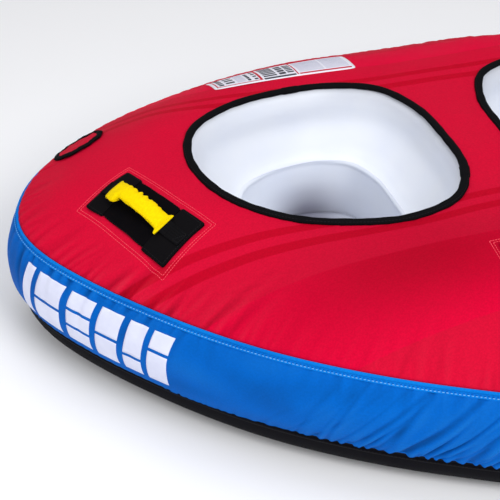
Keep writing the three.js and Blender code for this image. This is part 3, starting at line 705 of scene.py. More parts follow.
def along_stripe(stripe, x):
    path = smooth_path([(a, b, 0) for a, b in stripe], 200)
    return np.interp(-np.abs(x), path[:, 0], path[:, 1])


def triangulated(points, loops):
    """Triangles over plan points whose loops (index lists) are kept as edges."""
    edges = [(a, b) for loop in loops for a, b in zip(loop, loop[1:] + loop[:1])]
    found = geometry.delaunay_2d_cdt([Vector(p) for p in points.tolist()], edges, [], 0, 1e-7)
    return np.array([v[:] for v in found[0]]), [list(face) for face in found[2]]


def spread_points(spacing, keep):
    """A staggered grid over the plan, thinned by keep(x, y)."""
    xs = np.arange(-0.92, 0.92, spacing)
    ys = np.arange(-0.62, 0.66, spacing * math.sqrt(0.75))
    x, y = np.meshgrid(xs, ys)
    x = x + (np.arange(len(ys)) % 2)[:, None] * spacing / 2
    points = np.stack([x.ravel(), y.ravel()], -1)
    return points[keep(points[:, 0], points[:, 1])]


def top_cover():
    around = np.linspace(0, TURN, 1400, endpoint=False)
    depths = np.array([0.4, 3.5, 7, 10.5, 14.5, 19, 24, 30, 36, 43, 50, 58]) / 1000
    rings = []
    for k, depth in enumerate(depths):
        a = around + (k % 2) * TURN / 2800
        rings.append(ring_points(a, seam_at(a) - depth, 0)[:, :2])
    holes = []
    for side in rims:
        rim = rims[side]
        holes.append([rim["crest"] + rim["out"] * d for d in np.array([5, 9, 13, 18, 24, 31]) / 1000])
    loose = spread_points(0.0115, lambda x, y: (inside(x, y) > 0.063)
                          & (rim_distance("left", x, y) > 0.030) & (rim_distance("right", x, y) > 0.030))
    plan, loops, start = [], [], 0
    for ring in [rings[0], holes[0][0], holes[1][0]]:
        loops.append(list(range(start, start + len(ring))))
        plan.append(ring)
        start += len(ring)
    plan += rings[1:] + holes[0][1:] + holes[1][1:] + [loose]
    plan, faces = triangulated(np.vstack(plan), loops)
    middle = np.array([plan[face].mean(0) for face in faces])
    x, y = middle[:, :2].T
    keep = (inside(x, y) > 0) & (rim_distance("left", x, y) > -0.0016)
    keep &= rim_distance("right", x, y) > -0.0016
    faces = [face for face, kept in zip(faces, keep) if kept]
    used = np.unique(np.concatenate(faces))
    renumber = np.zeros(len(plan), int)
    renumber[used] = np.arange(len(used))
    plan, faces = plan[used], [renumber[face].tolist() for face in faces]

    x, y = plan.T
    depth = inside(x, y)
    angle, _ = polar(x, y)
    run = run_of(angle)
    folds = np.zeros(len(plan))
    near = depth < 0.13
    pucker = ramp((0, 0.40), (32, 0.35), (45, 0.10), (60, 0.20), (70, 0.85), (84, 0.85), (98, 0.45),
                  (125, 0.25), (180, 0.3))
    folds[near] = creases(run[near], depth[near], seed=11, spacing=0.017, depth=0.0034, width=0.0050,
                          reach=0.046, where=pucker)
    folds[near] += creases(run[near], depth[near], seed=12, spacing=0.070, depth=0.0036, width=0.008,
                           reach=0.090, where=pucker)
    folds *= 1 - 0.5 * np.exp(-((depth / 0.004) ** 2))
    wrinkles = folds.copy()
    over = ramp((0, 0.0025), (92, 0.0025), (108, 0.0050), (180, 0.0050))(from_bow(angle))
    folds += over * (depth / 0.012) * np.exp(1 - depth / 0.012)  # swells over the drawn-in seam
    for side in rims:
        gap = rim_distance(side, x, y)
        close = gap < 0.03
        rim_run = np.arctan2(y - rims[side]["centre"][1], x - rims[side]["centre"][0]) % TURN / TURN * GIRTH
        folds[close] += creases(rim_run[close], gap[close], seed=31, spacing=0.07, depth=0.0006, width=0.014,
                                reach=0.016, where=ramp((0, 1), (180, 1)))
        folds -= 0.0012 * np.exp(-np.clip(gap, 0, None) / 0.010)
    folds += 0.0007 * swell(x, y, 5, 0.16) * ease(depth, 0.0, 0.08)
    valley = np.exp(-(((np.abs(x) - 0.20) / 0.17) ** 2) - ((y + 0.305) / 0.075) ** 2)
    normal = deck_normal(x, y, 0.004)
    points = np.stack([x, y, deck(x, y)], -1) + normal * (folds - 0.0035 * valley)[:, None]
    # painted shade: a soft darkening mask over the deck ahead of each seat, passed to the material
    shade = np.exp(-(((np.abs(x) - 0.24) / 0.30) ** 2) - ((y + 0.255) / 0.115) ** 2)
    ahead = along_stripe(FRONT_STRIPE, x) - y
    behind = y - along_stripe(REAR_STRIPE, x)
    ahead = np.where(ahead > 0.07, -0.127 - y, ahead)
    # the fold attribute drives painted crease shade and highlight in the material
    top = new_mesh("cover_top", points, faces, MAT["red"], fold=np.clip(wrinkles / 0.0036, -1, 1),
                   print=np.stack([ahead, behind, shade], -1))
    thicken(top, COVER_THICKNESS)
    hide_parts("cover_top_panel")
    return BVHTree.FromPolygons([Vector(p) for p in points.tolist()], faces)


cover_tree = top_cover()


def on_cover(x, y):
    """Points of the sewn cover above plan points."""
    return np.array([cover_tree.ray_cast(Vector((a, b, 1.0)), Vector((0, 0, -1)))[0] for a, b in zip(x, y)])


# ------------------------------------------------------------------ side band and bottom
side_section = [(offset_at("cover_side_band", z), z) for z in (0.112, 0.150, 0.184, 0.216)]
side_section = [(0.0137, LOWER_SEAM_Z)] + side_section + [(0.0, UPPER_SEAM_Z)]


def skin_section(rows, count):
    """A smooth section through (offset outside the seam, z) rows, and the distance along it."""
    section = smooth_path([(a, b, 0) for a, b in rows], count)[:, :2]
    return section, travelled(section)


# The band stands less proud of the seam round the rear quarters, and its lower hem wanders.
fullness = ramp((0, 1.0), (98, 1.0), (112, 0.3), (150, 0.3), (163, 1.0), (180, 1.0))
hem_rise = ramp((0, 0.016), (26, 0.016), (54, 0.012), (62, 0.005), (71, -0.002), (80, -0.005), (90, -0.003),
                (100, 0.0), (180, 0.0))


BAND_COLS, BAND_STEPS = 2200, 52
band_angle = angle_of(np.linspace(0, GIRTH, BAND_COLS, endpoint=False))
band_section, band_height = skin_section(side_section, BAND_STEPS)


def uphill(angle):
    """Side band wrinkles rise towards the bow on both sides."""
    return -0.65 if math.degrees(angle) % 360 > 270 or math.degrees(angle) % 360 < 90 else 0.65


def band_folds(run, height):
    """How far the band stands out of its smooth shape: creases from its seams and soft swelling."""
    top = band_height[-1]
    low, high = np.clip(height - hem_rise(from_bow(angle_of(run))), 0, None), top - height
    gather = ramp((0, 1.0), (44, 0.9), (58, 0.35), (75, 0.12), (110, 0.2), (150, 0.6), (180, 0.7))
    pucker = ramp((0, 0.5), (40, 0.25), (64, 0.10), (74, 0.55), (82, 1.0), (108, 0.9), (125, 0.6), (180, 0.5))
    long_fold = ramp((0, 1.0), (36, 1.0), (46, 0.45), (56, 0.1), (70, 0.0), (150, 0.0), (165, 0.5), (180, 0.5))
    folds = creases(run, low, seed=21, spacing=0.0170, depth=0.0024, width=0.0044, reach=0.026, where=gather,
                    lean=lambda a: 0.6 * uphill(a))
    folds += creases(run, high, seed=22, spacing=0.0150, depth=0.0030, width=0.0042, reach=0.030, where=pucker)
    folds += creases(run, high, seed=23, spacing=0.060, depth=0.0034, width=0.0070, reach=0.075, where=pucker)
    folds += creases(run, low, seed=24, spacing=0.024, depth=0.0048, width=0.0048, reach=0.135,
                     where=long_fold, lean=uphill)
    folds += creases(run, low, seed=25, spacing=0.038, depth=0.0036, width=0.0040, reach=0.090,
                     where=long_fold, lean=lambda a: 1.5 * uphill(a))
    folds = np.maximum(folds, -0.0010 - 0.25 * low)
    folds += 0.0009 * swell(run, height * 2.2, 6, 0.22) * np.sin(math.pi * np.clip(height / top, 0, 1))
    return folds * np.clip(0.35 + high / 0.012, 0, 1)


band_slope = np.gradient(band_section, band_height, axis=0)


def on_side(run, height, folds):
    """Points of the side band: run along the seam, height up the band, folds out of its smooth shape."""
    angle = angle_of(run)
    rows = (*band_section.T, *band_slope.T)
    out, z, slope_out, slope_z = (np.interp(height, band_height, row) for row in rows)
    hang = np.clip(height, None, 0)
    out, z = out + hang * slope_out + folds * slope_z, z + hang * slope_z - folds * slope_out
    out = np.where(out > 0, out * fullness(from_bow(angle)), out)
    return ring_points(angle, seam_at(angle) + out, z)


def side_band():
    run = np.broadcast_to(run_of(band_angle)[None], (BAND_STEPS, BAND_COLS))
    hem = hem_rise(from_bow(band_angle))[None]
    height = hem + (band_height[-1] - hem) * (band_height / band_height[-1])[:, None]
    folds = band_folds(run.ravel().copy(), height.ravel().copy()).reshape(run.shape)
    points = on_side(run, height, folds)
    points[..., 2] += np.clip(-folds, 0, None) * np.exp(-(height - hem) / 0.006)
    cloth = np.stack([run, height, 0 * run], -1)
    # the fold attribute drives painted shade down the creases and a painted highlight on their crests
    band = ribbon("cover_band", points, MAT["blue"], wrap_cols=True, cloth=cloth,
                  fold=np.clip(folds / 0.0030, -1, 1))
    thicken(band, COVER_THICKNESS)
    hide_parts("cover_side_band")
    hem_section = circle(8) * (0.0015, 0.0022) - (0.0010, 0.0)
    up = np.tile(UP, (BAND_COLS, 1))
    rolled = closed_loft("cover_band_lower_hem", points[0], rightward(points[0]), up, hem_section, MAT["blue"])


side_band()


def bottom_cover():
    """The bottom panel: from behind the band's hem down and under the tube, then flat to its middle."""
    cols = 640
    angle = angle_of(np.linspace(0, GIRTH, cols, endpoint=False))
    behind = [(float(np.interp(h, band_height, band_section[:, 0])) - 0.0024,
               float(np.interp(h, band_height, band_section[:, 1]))) for h in (0.020, 0.010)]
    rows = [(offset_at("cover_bottom_panel", z), z) for z in (0.048, 0.024, 0.007)]
    section, _ = skin_section(behind + [(0.0118, LOWER_SEAM_Z)] + rows + [(-0.080, 0.0), (-0.110, 0.0)], 32)
    section[:, 1] = np.clip(section[:, 1], 0, None)
    height = travelled(section)
    run = np.broadcast_to(run_of(angle)[None], (len(section), cols))
    away = np.broadcast_to(height[:, None], run.shape)
    tuck = ramp((0, 1.0), (50, 0.6), (75, 0.3), (120, 0.5), (180, 0.7))
    folds = creases(run.ravel().copy(), away.ravel().copy(), seed=41, spacing=0.028, depth=0.0010, width=0.006,
                    reach=0.030, where=tuck)
    bulge = 0.0004 - folds.reshape(run.shape) * np.exp(-away / 0.05)
    slope_out, slope_z = unit(np.gradient(section, axis=0)).T[:, :, None]
    out, z = section[:, :1] + bulge * slope_z, section[:, 1:] - bulge * slope_out
    out = np.where(out > 0, out * fullness(from_bow(angle))[None], out)
    side = ring_points(angle, seam_at(angle)[None] + out, z)
    side[..., 2] = np.clip(side[..., 2], 0, None)
    middle = np.array([*CENTRE, 0.0])
    flat = [(middle + (side[-1] - middle) * share)[None] for share in np.linspace(0.94, 0.04, 14)]
    points = np.concatenate([side, *flat])
    cloth = points.copy()
    cloth[: len(section), :, 0], cloth[: len(section), :, 1] = run, away
    last = (len(points) - 1) * cols
    faces = [face[::-1] for face in grid_faces(len(points), cols, wrap_cols=True)]
    faces.append([last + c for c in range(cols)][::-1])
    bottom = new_mesh("cover_bottom", points.reshape(-1, 3), faces, MAT["black"], cloth=cloth.reshape(-1, 3))
    thicken(bottom, COVER_THICKNESS)
    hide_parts("cover_bottom_panel")


bottom_cover()


# ------------------------------------------------------------------ seams
def seam_frames(cols, out, z):
    """Points round the tube with outward directions, for bindings and stitches."""
    angle = angle_of(np.linspace(0, GIRTH, cols, endpoint=False))
    points = ring_points(angle, seam_at(angle) + out, z)
    return points, rightward(points), np.tile(UP, (cols, 1))


# (outward, upward) directions down the band from the upper seam and out of its face
down = unit(np.array(side_section[-2]) - np.array(side_section[-1]))
face = np.array([-down[1], down[0]])


def on_band(below, lift):
    """(outward, upward) offset of a point on the upper part of the band, below the seam."""
    return down * below + face * lift


def upper_binding():
    roll = [on_band(0.0016 - 0.0030 * math.sin(a), 0.0010 + 0.0030 * math.cos(a))
            for a in np.radians([-75, -50, -25, 0, 25, 50, 75, 100])]
    section = [on_band(0.0128, 0.0004), on_band(0.0126, 0.0014), on_band(0.0110, 0.0016),
               on_band(0.0098, 0.0012), on_band(0.0086, 0.0017), on_band(0.0074, 0.0016),
               on_band(0.0058, 0.0004), *roll, on_band(-0.0004, -0.0014), on_band(0.005, -0.0014)]
    centre, out, up = seam_frames(1100, 0.0, UPPER_SEAM_Z)
    binding = closed_loft("upper_seam_tape", centre, out, up, np.array(section), MAT["hem"])
    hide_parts("upper_seam_binding")
    for name, below, tone in (("outer", 0.0097, "pale_thread"), ("inner", 0.0075, "blue_thread")):
        offset = on_band(below, 0.0017)
        line, normal = centre + out * offset[0] + UP * offset[1], out * face[0] + UP * face[1]
        stitches(f"upper_seam_stitches_{name}", line, normal, "upper_seam", MAT[tone])


upper_binding()


def lower_binding():
    section = [(0.0105, -0.010), (0.0128, -0.0100), (0.0144, -0.006), (0.0150, -0.001), (0.0134, 0.0005),
               (0.0110, 0.0)]
    centre, out, up = seam_frames(900, 0.0, LOWER_SEAM_Z)
    binding = closed_loft("lower_seam_tape", centre, out, up, np.array(section) - (0.0030, 0), MAT["black"])
    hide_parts("lower_seam_binding")
    line, outward, _ = seam_frames(900, 0.0120, LOWER_SEAM_Z - 0.0052)
    stitches("lower_seam_stitches", line, outward, "lower_seam", MAT["black_thread"])


lower_binding()


# ------------------------------------------------------------------ cockpits
def deepness(points, centre):
    """Painted shade on a well's white cloth: a little above its weld and at its rim, most low on its inner
    half.
    """
    x, z = np.abs(points[..., 0]), points[..., 2]
    above = 0.17 * ease(z - WELD_Z, -0.012, 0.020)
    rim = 0.20 * np.exp(-(((DECK_Z - z) / 0.03) ** 2)) * ease(abs(centre[0]) - x, 0.02, 0.13)
    low = np.interp(z, [SEAT_TOP_Z, 0.120, 0.150, 0.185], [0.80, 0.50, 0.20, 0.0])
    return above + rim + low * np.exp(-(((x - 0.265) / 0.085) ** 2))


def cockpit(side):
    """A well's wall, weld, piping and seat; the wall is drawn from its rim down to the seat."""
    rim = rims[side]
    crest, out, centre = rim["crest"], rim["out"], rim["centre"]
    flat = np.zeros(len(crest))

    def level(points, z):
        return np.column_stack([points, flat + z])

    def scaled(scale, z, grow=0.0):
        away = (crest + out * PIPING_RADIUS - centre) * scale
        away *= 1 + grow / np.linalg.norm(away, axis=1, keepdims=True)
        return level(centre + away, z)

    wall_rows = [
        level(crest + out * 0.0035, DECK_Z - 0.0035),
        level(crest - out * 0.0015, DECK_Z - 0.0075),
        level(crest - out * 0.0085, DECK_Z - 0.016),
        level(crest - out * 0.0150, DECK_Z - 0.036),
        scaled(np.array([0.862, 0.905]), 0.265),
        scaled(np.array([0.735, 0.815]), 0.230),
        scaled(WELD_SCALE, WELD_Z),
        scaled(WELD_SCALE + 0.006, WELD_Z - 0.018),
        scaled(WELD_SCALE + 0.014, 0.160),
        scaled(SEAT_SCALE, 0.110),
        scaled(SEAT_SCALE, SEAT_TOP_Z - 0.022),
    ]
    stacked = np.stack(wall_rows, 1)
    wall = np.stack([smooth_path(column, 72) for column in stacked], 1)
    z = wall[..., 2]
    run = np.broadcast_to(np.linspace(0, 1, len(crest), endpoint=False)[None], z.shape)
    inward = np.concatenate([-out, flat[:, None]], 1)[None]
    soft = 0.0016 * swell(wall[..., 0], wall[..., 1], 8, 0.20) * ease(DECK_Z - z, 0.02, 0.06)
    wall = wall + inward * soft[..., None]
    groove = np.exp(-(((z - WELD_Z - 0.006) / 0.0045) ** 2))
    groove -= 0.8 * np.exp(-(((z - WELD_Z + 0.004) / 0.005) ** 2))
    wall = wall - inward * (0.0016 * groove)[..., None]
    # the wall's attribute carries painted shade, greying it low in the well
    shell = ribbon(f"cockpit_wall_{side}", wall, MAT["pvc"], wrap_cols=True, deep=deepness(wall, centre))
    thicken(shell, 0.0012, 1.0)
    if side == "left":
        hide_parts(*CHAMBERS)

    row = int(np.argmin(np.abs(z.mean(1) - WELD_Z)))
    line = wall[row]
    slope = unit(wall[row + 1] - wall[row - 1])
    face_in = np.cross(slope, onward(line))
    face_in *= np.sign(np.sum(face_in * inward[0], 1, keepdims=True))
    bead = circle(10)[:, ::-1] * (0.0010, 0.0021) + (0.0004, 0.0)
    weld = closed_loft(f"cockpit_weld_{side}", line, face_in, slope, bead, MAT["weld"])

    # piping: a folded tape over a cord, its end lapped over its start
    share = np.linspace(0, 1, len(crest), endpoint=False)
    lap_at = [float(np.argmin(np.hypot(*(crest - spot).T))) / len(crest)
              for spot in (centre + np.array([0.02, 0.17]), centre + np.array([0.16, -0.13]))]
    lap = np.zeros(len(crest))
    for spot in lap_at:
        behind = (share - spot + 0.5) % 1 - 0.5
        lap += 0.0011 * ((behind > 0) & (behind < 0.022))
        lap += 0.0004 * np.exp(-(((behind - 0.022) / 0.004) ** 2))
    wobble = 0.00025 * np.sin(TURN * share * 23) + 0.0002 * np.sin(TURN * share * 41 + 1)
    section = squared(circle(18), 0.92)[None] * (1 + (lap + wobble) / PIPING_RADIUS)[:, None, None]
    section = section * TAPE_HALF + (TAPE_SLIDE, 0.0)
    middle = level(crest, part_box(f"cockpit_piping_{side}")[0].z + 0.0065)
    up = np.tile(UP, (len(crest), 1))
    outward = np.concatenate([out, flat[:, None]], 1)
    tube = closed_loft(f"cockpit_piping_{side}_tape", middle, outward, up, section, MAT["piping"])
    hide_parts(f"cockpit_piping_{side}")
    line = middle + outward * (TAPE_SLIDE + 0.0055) + up * 0.0040
    normal = outward * 0.5 + up * 0.85
    sewn = stitches(f"cockpit_piping_{side}_stitches", line, normal, "piping", MAT["black_thread"])

    seat_edge = ((0.070, -0.004), (0.060, -0.0015), (0.020, -0.0015), (0.008, -0.006))
    seat_rows = [scaled(SEAT_SCALE, SEAT_TOP_Z - drop, grow) for drop, grow in seat_edge]
    seat_dip = ((0.88, 0.0025), (0.72, 0.001), (0.56, 0.0005), (0.40, 0.0), (0.22, 0.0), (0.05, 0.0))
    for scale, z_drop in seat_dip:
        seat_rows.append(scaled(SEAT_SCALE * scale, SEAT_TOP_Z - 0.002 - z_drop))
    seat = np.stack(seat_rows)[:, ::2]
    # the seat carries the same painted shade
    seat_floor = ribbon(f"seat_cushion_{side}", seat, MAT["pvc"], wrap_cols=True, caps=True, flip=True,
                        deep=deepness(seat, centre))
    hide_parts(f"seat_floor_{side}")
    return seat_floor


seats = [cockpit(side) for side in SIDES]


# ------------------------------------------------------------------ pieces that lie on the deck
class DeckFrame:
    """A place on the deck: U along the piece, V across it, N out of the deck."""

    def __init__(self, x, y, turn):
        self.turn = turn
        self.spot = np.array([x, y, float(deck(x, y))])
        self.up = deck_normal(np.array(x), np.array(y))
        along = np.array([math.cos(turn), math.sin(turn), 0.0])
        self.along = unit(along - self.up * (along @ self.up))
        self.across = np.cross(self.up, self.along)

    def plan(self, u, v):
        """Plan points of places along and across the piece."""
        c, s = math.cos(self.turn), math.sin(self.turn)
        return self.spot[0] + u * c - v * s, self.spot[1] + u * s + v * c

    def draped(self, u, v, height):
        """Points that lie a height above the deck."""
        u, v, height = np.broadcast_arrays(np.asarray(u, float), v, height)
        x, y = self.plan(u, v)
        return np.stack([x, y, deck(x, y)], -1) + deck_normal(x, y) * height[..., None]

    def sag(self, u):
        """How far the deck rises above its tangent at the piece's middle."""
        x, y = self.plan(np.asarray(u, float), 0.0)
        return (np.stack([x, y, deck(x, y)], -1) - self.spot) @ self.up

    def rigid(self, u, v, w):
        """Points in the piece's own straight axes."""
        u, v, w = np.broadcast_arrays(np.asarray(u, float), v, w)
        return self.spot + u[..., None] * self.along + v[..., None] * self.across + w[..., None] * self.up


def turn_of(axis, up):
    """Plan angle of the direction along the deck that a joint's axis points in."""
    level = axis - up * axis[2] / up[2]
    return math.atan2(level[1], level[0])


def joint(name):
    return next(j for j in frame["joints"] if j["name"] == name)


def plate(name, place, half, height, thickness, material, steps=(48, 24), rounding=0.002, corner=0.004,
          ripple=0.0, seed=0, crown=0.0, slide=0.0, waist=None):
    """A soft plate on the deck with rounded edges and corners; steps are its grid cells.

    slide moves it along, waist narrows it by a share along its length, crown raises its middle.
    """
    a, b = np.linspace(-1, 1, steps[0] + 1), np.linspace(-1, 1, steps[1] + 1)
    a, b = np.meshgrid(squared(a, 0.8), squared(b, 0.8), indexing="ij")
    bite = corner * (np.abs(a) ** 14) * (np.abs(b) ** 14)
    u = a * half[0] - np.sign(a) * bite
    v = b * half[1] - np.sign(b) * bite
    if waist:
        v = v * waist(u)
    wave = ripple * swell(u, v, seed + 3, 0.07)
    u, v = u + wave * np.abs(a) ** 6, v + ripple * swell(v, u, seed + 4, 0.06) * np.abs(b) ** 6
    edge = np.minimum(half[0] * (1 - np.abs(a)), half[1] * (1 - np.abs(b)))
    round_off = rounding * (1 - np.sqrt(np.clip(1 - (1 - np.clip(edge / rounding, 0, 1)) ** 2, 0, 1)))
    dome = crown * (1 - a**2) * (1 - b**2)
    top = place.draped(u + slide, v, height + thickness - round_off + dome + 0.3 * wave * (edge > 0.004))
    low = place.draped(u + slide, v, np.full(u.shape, float(height)))
    cloth = np.tile(np.stack([u, v, 0 * u], -1).reshape(-1, 3), (2, 1))
    return slab(name, top, low, material, cloth=cloth)


def rectangle(half, count, extra=()):
    """Points round a rectangle, and on to any extra corners."""
    corners = [(1, 1), (-1, 1), (-1, -1), (1, -1), (1, 1), *extra]
    return resample(np.array(corners) * half, count)


def node_centre(name):
    return vertices(name)[:, :2].mean(0)


arch_line = smooth_path([(u / 1000 + GRIP_SLIDE, w / 1000, 0) for u, w in STRAP_ARCH], 400)


def arch_height(place, u):
    return np.interp(u, arch_line[:, 0], arch_line[:, 1]) + place.sag(u)


def strip(place, u, w, half_width, half_thick, sides, square):
    """Rows of a flat soft section swept in the U-W plane."""
    u, w = np.asarray(u, float), np.asarray(w, float)
    du, dw = np.gradient(u), np.gradient(w)
    size = np.hypot(du, dw)
    nu, nw = -dw / size, du / size
    v, t = squared(circle(sides), 2 / square).T
    rise = t[None] * np.reshape(half_thick, (-1, 1))
    return place.rigid(u[:, None] + nu[:, None] * rise, v[None] * half_width, w[:, None] + nw[:, None] * rise)


def swept_cloth(u, w, sides, width):
    along = travelled(np.stack([u, w], -1))
    across = np.linspace(0, 2.2 * width, sides, endpoint=False)
    return np.stack(np.broadcast_arrays(along[:, None], across[None], 0.0), -1)


puffed = []  # (object, how far its points may move) for the one cloth simulation


def webbing(title, place, u, w):
    """A run of strap webbing along a line of (along, above) points."""
    grid = strip(place, u, w, 0.015, 0.0012, sides=20, square=7.0)
    piece = ribbon(title, grid, MAT["webbing"], wrap_cols=True, caps=True, body=None,
                   cloth=swept_cloth(u, w, 20, 0.030))
    return piece


def handle_base(name, place):
    """The parts sewn flat on the cover: patch, knuckle pad, end layers and their rows of stitches."""

    def waist(u):
        return 1 - 0.065 * ease(u, -0.0510, -0.0485) * (1 - ease(u, 0.0620, 0.0645))

    patch = plate(f"{name}_sewn_patch", place, PATCH_HALF, 0.0005, PATCH_TOP - 0.0007, MAT["patch"],
                  steps=(96, 32), rounding=0.0012, corner=0.001, ripple=0.0007, seed=len(name), waist=waist)
    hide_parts(f"{name}_patch")
    pad = plate(f"{name}_foam_pad", place, KNUCKLE_HALF, PATCH_TOP - 0.0002, 0.0020, MAT["neoprene"],
                steps=(56, 36), rounding=0.0016, corner=0.002, ripple=0.0004, seed=7, crown=0.0009,
                slide=KNUCKLE_SLIDE)
    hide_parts(f"{name}_knuckle_pad")
    for end, (low, high) in LAYER_ENDS.items():
        half = np.array([(high - low) / 2, 0.0492])
        cover = plate(f"{name}_end_layer_{end}", place, half, PATCH_TOP - 0.0006,
                      COVER_TOP - PATCH_TOP + 0.0006, MAT["patch"], steps=(40, 40), rounding=0.0012,
                      corner=0.0012, ripple=0.0008, seed=len(name) + len(end), slide=(low + high) / 2)
    for row, grow in enumerate((0.0085, 0.0135)):
        loop = rectangle(PATCH_HALF + grow, 240)[:-1]
        line = on_cover(*place.plan(*loop.T))
        normal = deck_normal(line[:, 0], line[:, 1])
        sewn = stitches(f"{name}_stitches_{row}", line + normal * 0.0004, normal, "patch", MAT["pink_thread"])
    u, v = rectangle(PATCH_HALF - 0.004, 240)[:-1].T
    over_layer = (u < LAYER_ENDS["front"][1]) | (u > LAYER_ENDS["rear"][0])
    line = place.draped(u, v, np.where(over_layer, COVER_TOP, PATCH_TOP + 0.0018))
    normal = deck_normal(line[:, 0], line[:, 1])
    sewn = stitches(f"{name}_stitches_hem", line, normal, "hem", MAT["black_thread"])


def handle_strap(name, place):
    """The webbing: an arch in two halves and its two sewn ends, which meet where they leave the tube."""
    arch = np.linspace(-0.0685, 0.0945, 97)
    for end, u in (("rear", arch[48:]), ("front", arch[:49])):
        run = webbing(f"{name}_webbing_arch_{end}", place, u, arch_height(place, u))
        if end == "rear":
            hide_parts(f"{name}_strap")
        spots = [tuple(place.rigid(at, 0.0, float(arch_height(place, at)))) for at in ARCH_HELD[end]]
        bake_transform(run)
    for end, sign in (("rear", 1), ("front", -1)):
        u, w = smooth_path([(a / 1000, b / 1000 + PATCH_TOP, 0) for a, b in STRAP_ANCHORS[end]], 25)[:, :2].T
        w = w + place.sag(u)
        piece = webbing(f"{name}_webbing_{end}", place, u, w)
        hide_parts(f"{name}_strap_end_{end}")
        held, free = ANCHOR_HELD[end]
        tuple(place.rigid(held, 0.0, 0.006))
        tuple(place.rigid(free, 0.0, 0.008))
        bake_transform(piece)
        tack, half_length = BARTACK[end]
        loop = rectangle((half_length, 0.011), 90, extra=[(-1, -1)])
        top = np.interp(tack, u[::-sign], w[::-sign])
        line = place.rigid(tack + loop[:, 0], loop[:, 1], top + 0.0012)
        sewn = stitches(f"{name}_bartack_{end}", line, np.tile(place.up, (len(line), 1)), "bartack",
                        MAT["black_thread"], closed=False)


def handle_sleeve(name, place, toward_seat):
    """The padded sleeve: its hems flare, its rear hem is turned out, its cockpit side is gathered."""
    along = np.linspace(-GRIP_HALF, GRIP_HALF, 81)
    u = along + GRIP_SLIDE
    outboard = np.interp(along, *np.array(SLEEVE_OUTBOARD).T / 1000)
    inboard = np.interp(along, *np.array(SLEEVE_INBOARD).T / 1000)
    a = np.linspace(0, TURN, 30, endpoint=False)
    on_seat_side = np.cos(a) * toward_seat > 0
    half_width = np.where(on_seat_side[None], inboard[:, None], outboard[:, None]) * 0.97
    reach = np.abs(along) / GRIP_HALF
    half_thick = 0.0062 - 0.0036 * ease(reach, 0.84, 0.97)
    lift = arch_height(place, u) + 0.0008
    grid = strip(place, u, lift, half_width, half_thick, sides=30, square=2.8)
    edge = np.clip(np.cos(a) * toward_seat, 0, 1) ** 2
    tooth = (along / 0.0125) % 1
    gathers = 0.0026 * (ease(tooth, 0.0, 0.25) - ease(tooth, 0.25, 1.0))
    gathers *= ease(0.026 - np.abs(along + 0.014), 0, 0.006)
    gathers += 0.0012 * np.sin(along * 420) * ease(0.055 - np.abs(along), 0, 0.015)
    grid += toward_seat * (gathers[:, None] * edge[None])[..., None] * place.across
    rumple = 0.0006 * swell(along[:, None] + 0 * a, np.sin(a)[None] * 0.03 + 0 * along[:, None], 8, 0.03)
    grid += rumple[..., None] * place.up
    grip = ribbon(f"{name}_sleeve", grid, MAT["grip"], wrap_cols=True, caps=True, body=None,
                  cloth=swept_cloth(u, lift, 30, 0.042))
    puffed.append((grip, 0.0030, name))
    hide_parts(f"{name}_grip")
    share, thick = squared(circle(60), 2 / 2.6).T
    for end, sign in (("front", -1), ("rear", 1)):
        at_along = sign * (GRIP_HALF - 0.0060)
        at_u = at_along + GRIP_SLIDE
        wide_in, wide_out = (0.97 * np.interp(at_along, along, side) + 0.0004 for side in (inboard, outboard))
        wide = np.where(share * toward_seat > 0, wide_in, wide_out)
        high = float(np.interp(at_along, along, half_thick)) + 0.0005
        path = np.array([at_u - 0.004, at_u + 0.004])
        rise = arch_height(place, path) + 0.0008
        tilt = unit(np.array([path[1] - path[0], rise[1] - rise[0]]))
        line = place.rigid(at_u - tilt[1] * thick * high, share * wide, rise.mean() + tilt[0] * thick * high)
        away = unit(line - place.rigid(at_u, 0.0, rise.mean()))
        sewn = stitches(f"{name}_sleeve_stitches_{end}", line, away, "sleeve", MAT["yellow_thread"], body=name)


for name in ("handle_outer_left", "handle_outer_right", "handle_inner_left", "handle_inner_right"):
    hinge = joint(f"{name}_lean")
    pivot = foot = np.array(hinge["pos_m"], float)
    for _ in range(2):
        up = deck_normal(foot[0], foot[1])
        foot = pivot - HINGE_HEIGHT * up
    place = DeckFrame(foot[0], foot[1], turn_of(np.array(hinge["axis"], float), up))
    toward_seat = -np.sign(place.across @ (foot - np.array([*CENTRE, foot[2]])))
    handle_base(name, place)
    handle_strap(name, place)
    handle_sleeve(name, place, toward_seat)


# ------------------------------------------------------------------ valve flap
FLAP_HALF = np.array([0.0530, 0.0410])
FLAP_CLOTH = 0.93  # share of the flap's outline that its cloth fills, inside the binding
flap_turn = turn_of(np.array(joint("valve_flap_open")["axis"], float), deck_normal(*node_centre("valve_body")))
valve = DeckFrame(*node_centre("valve_flap_binding"), flap_turn)


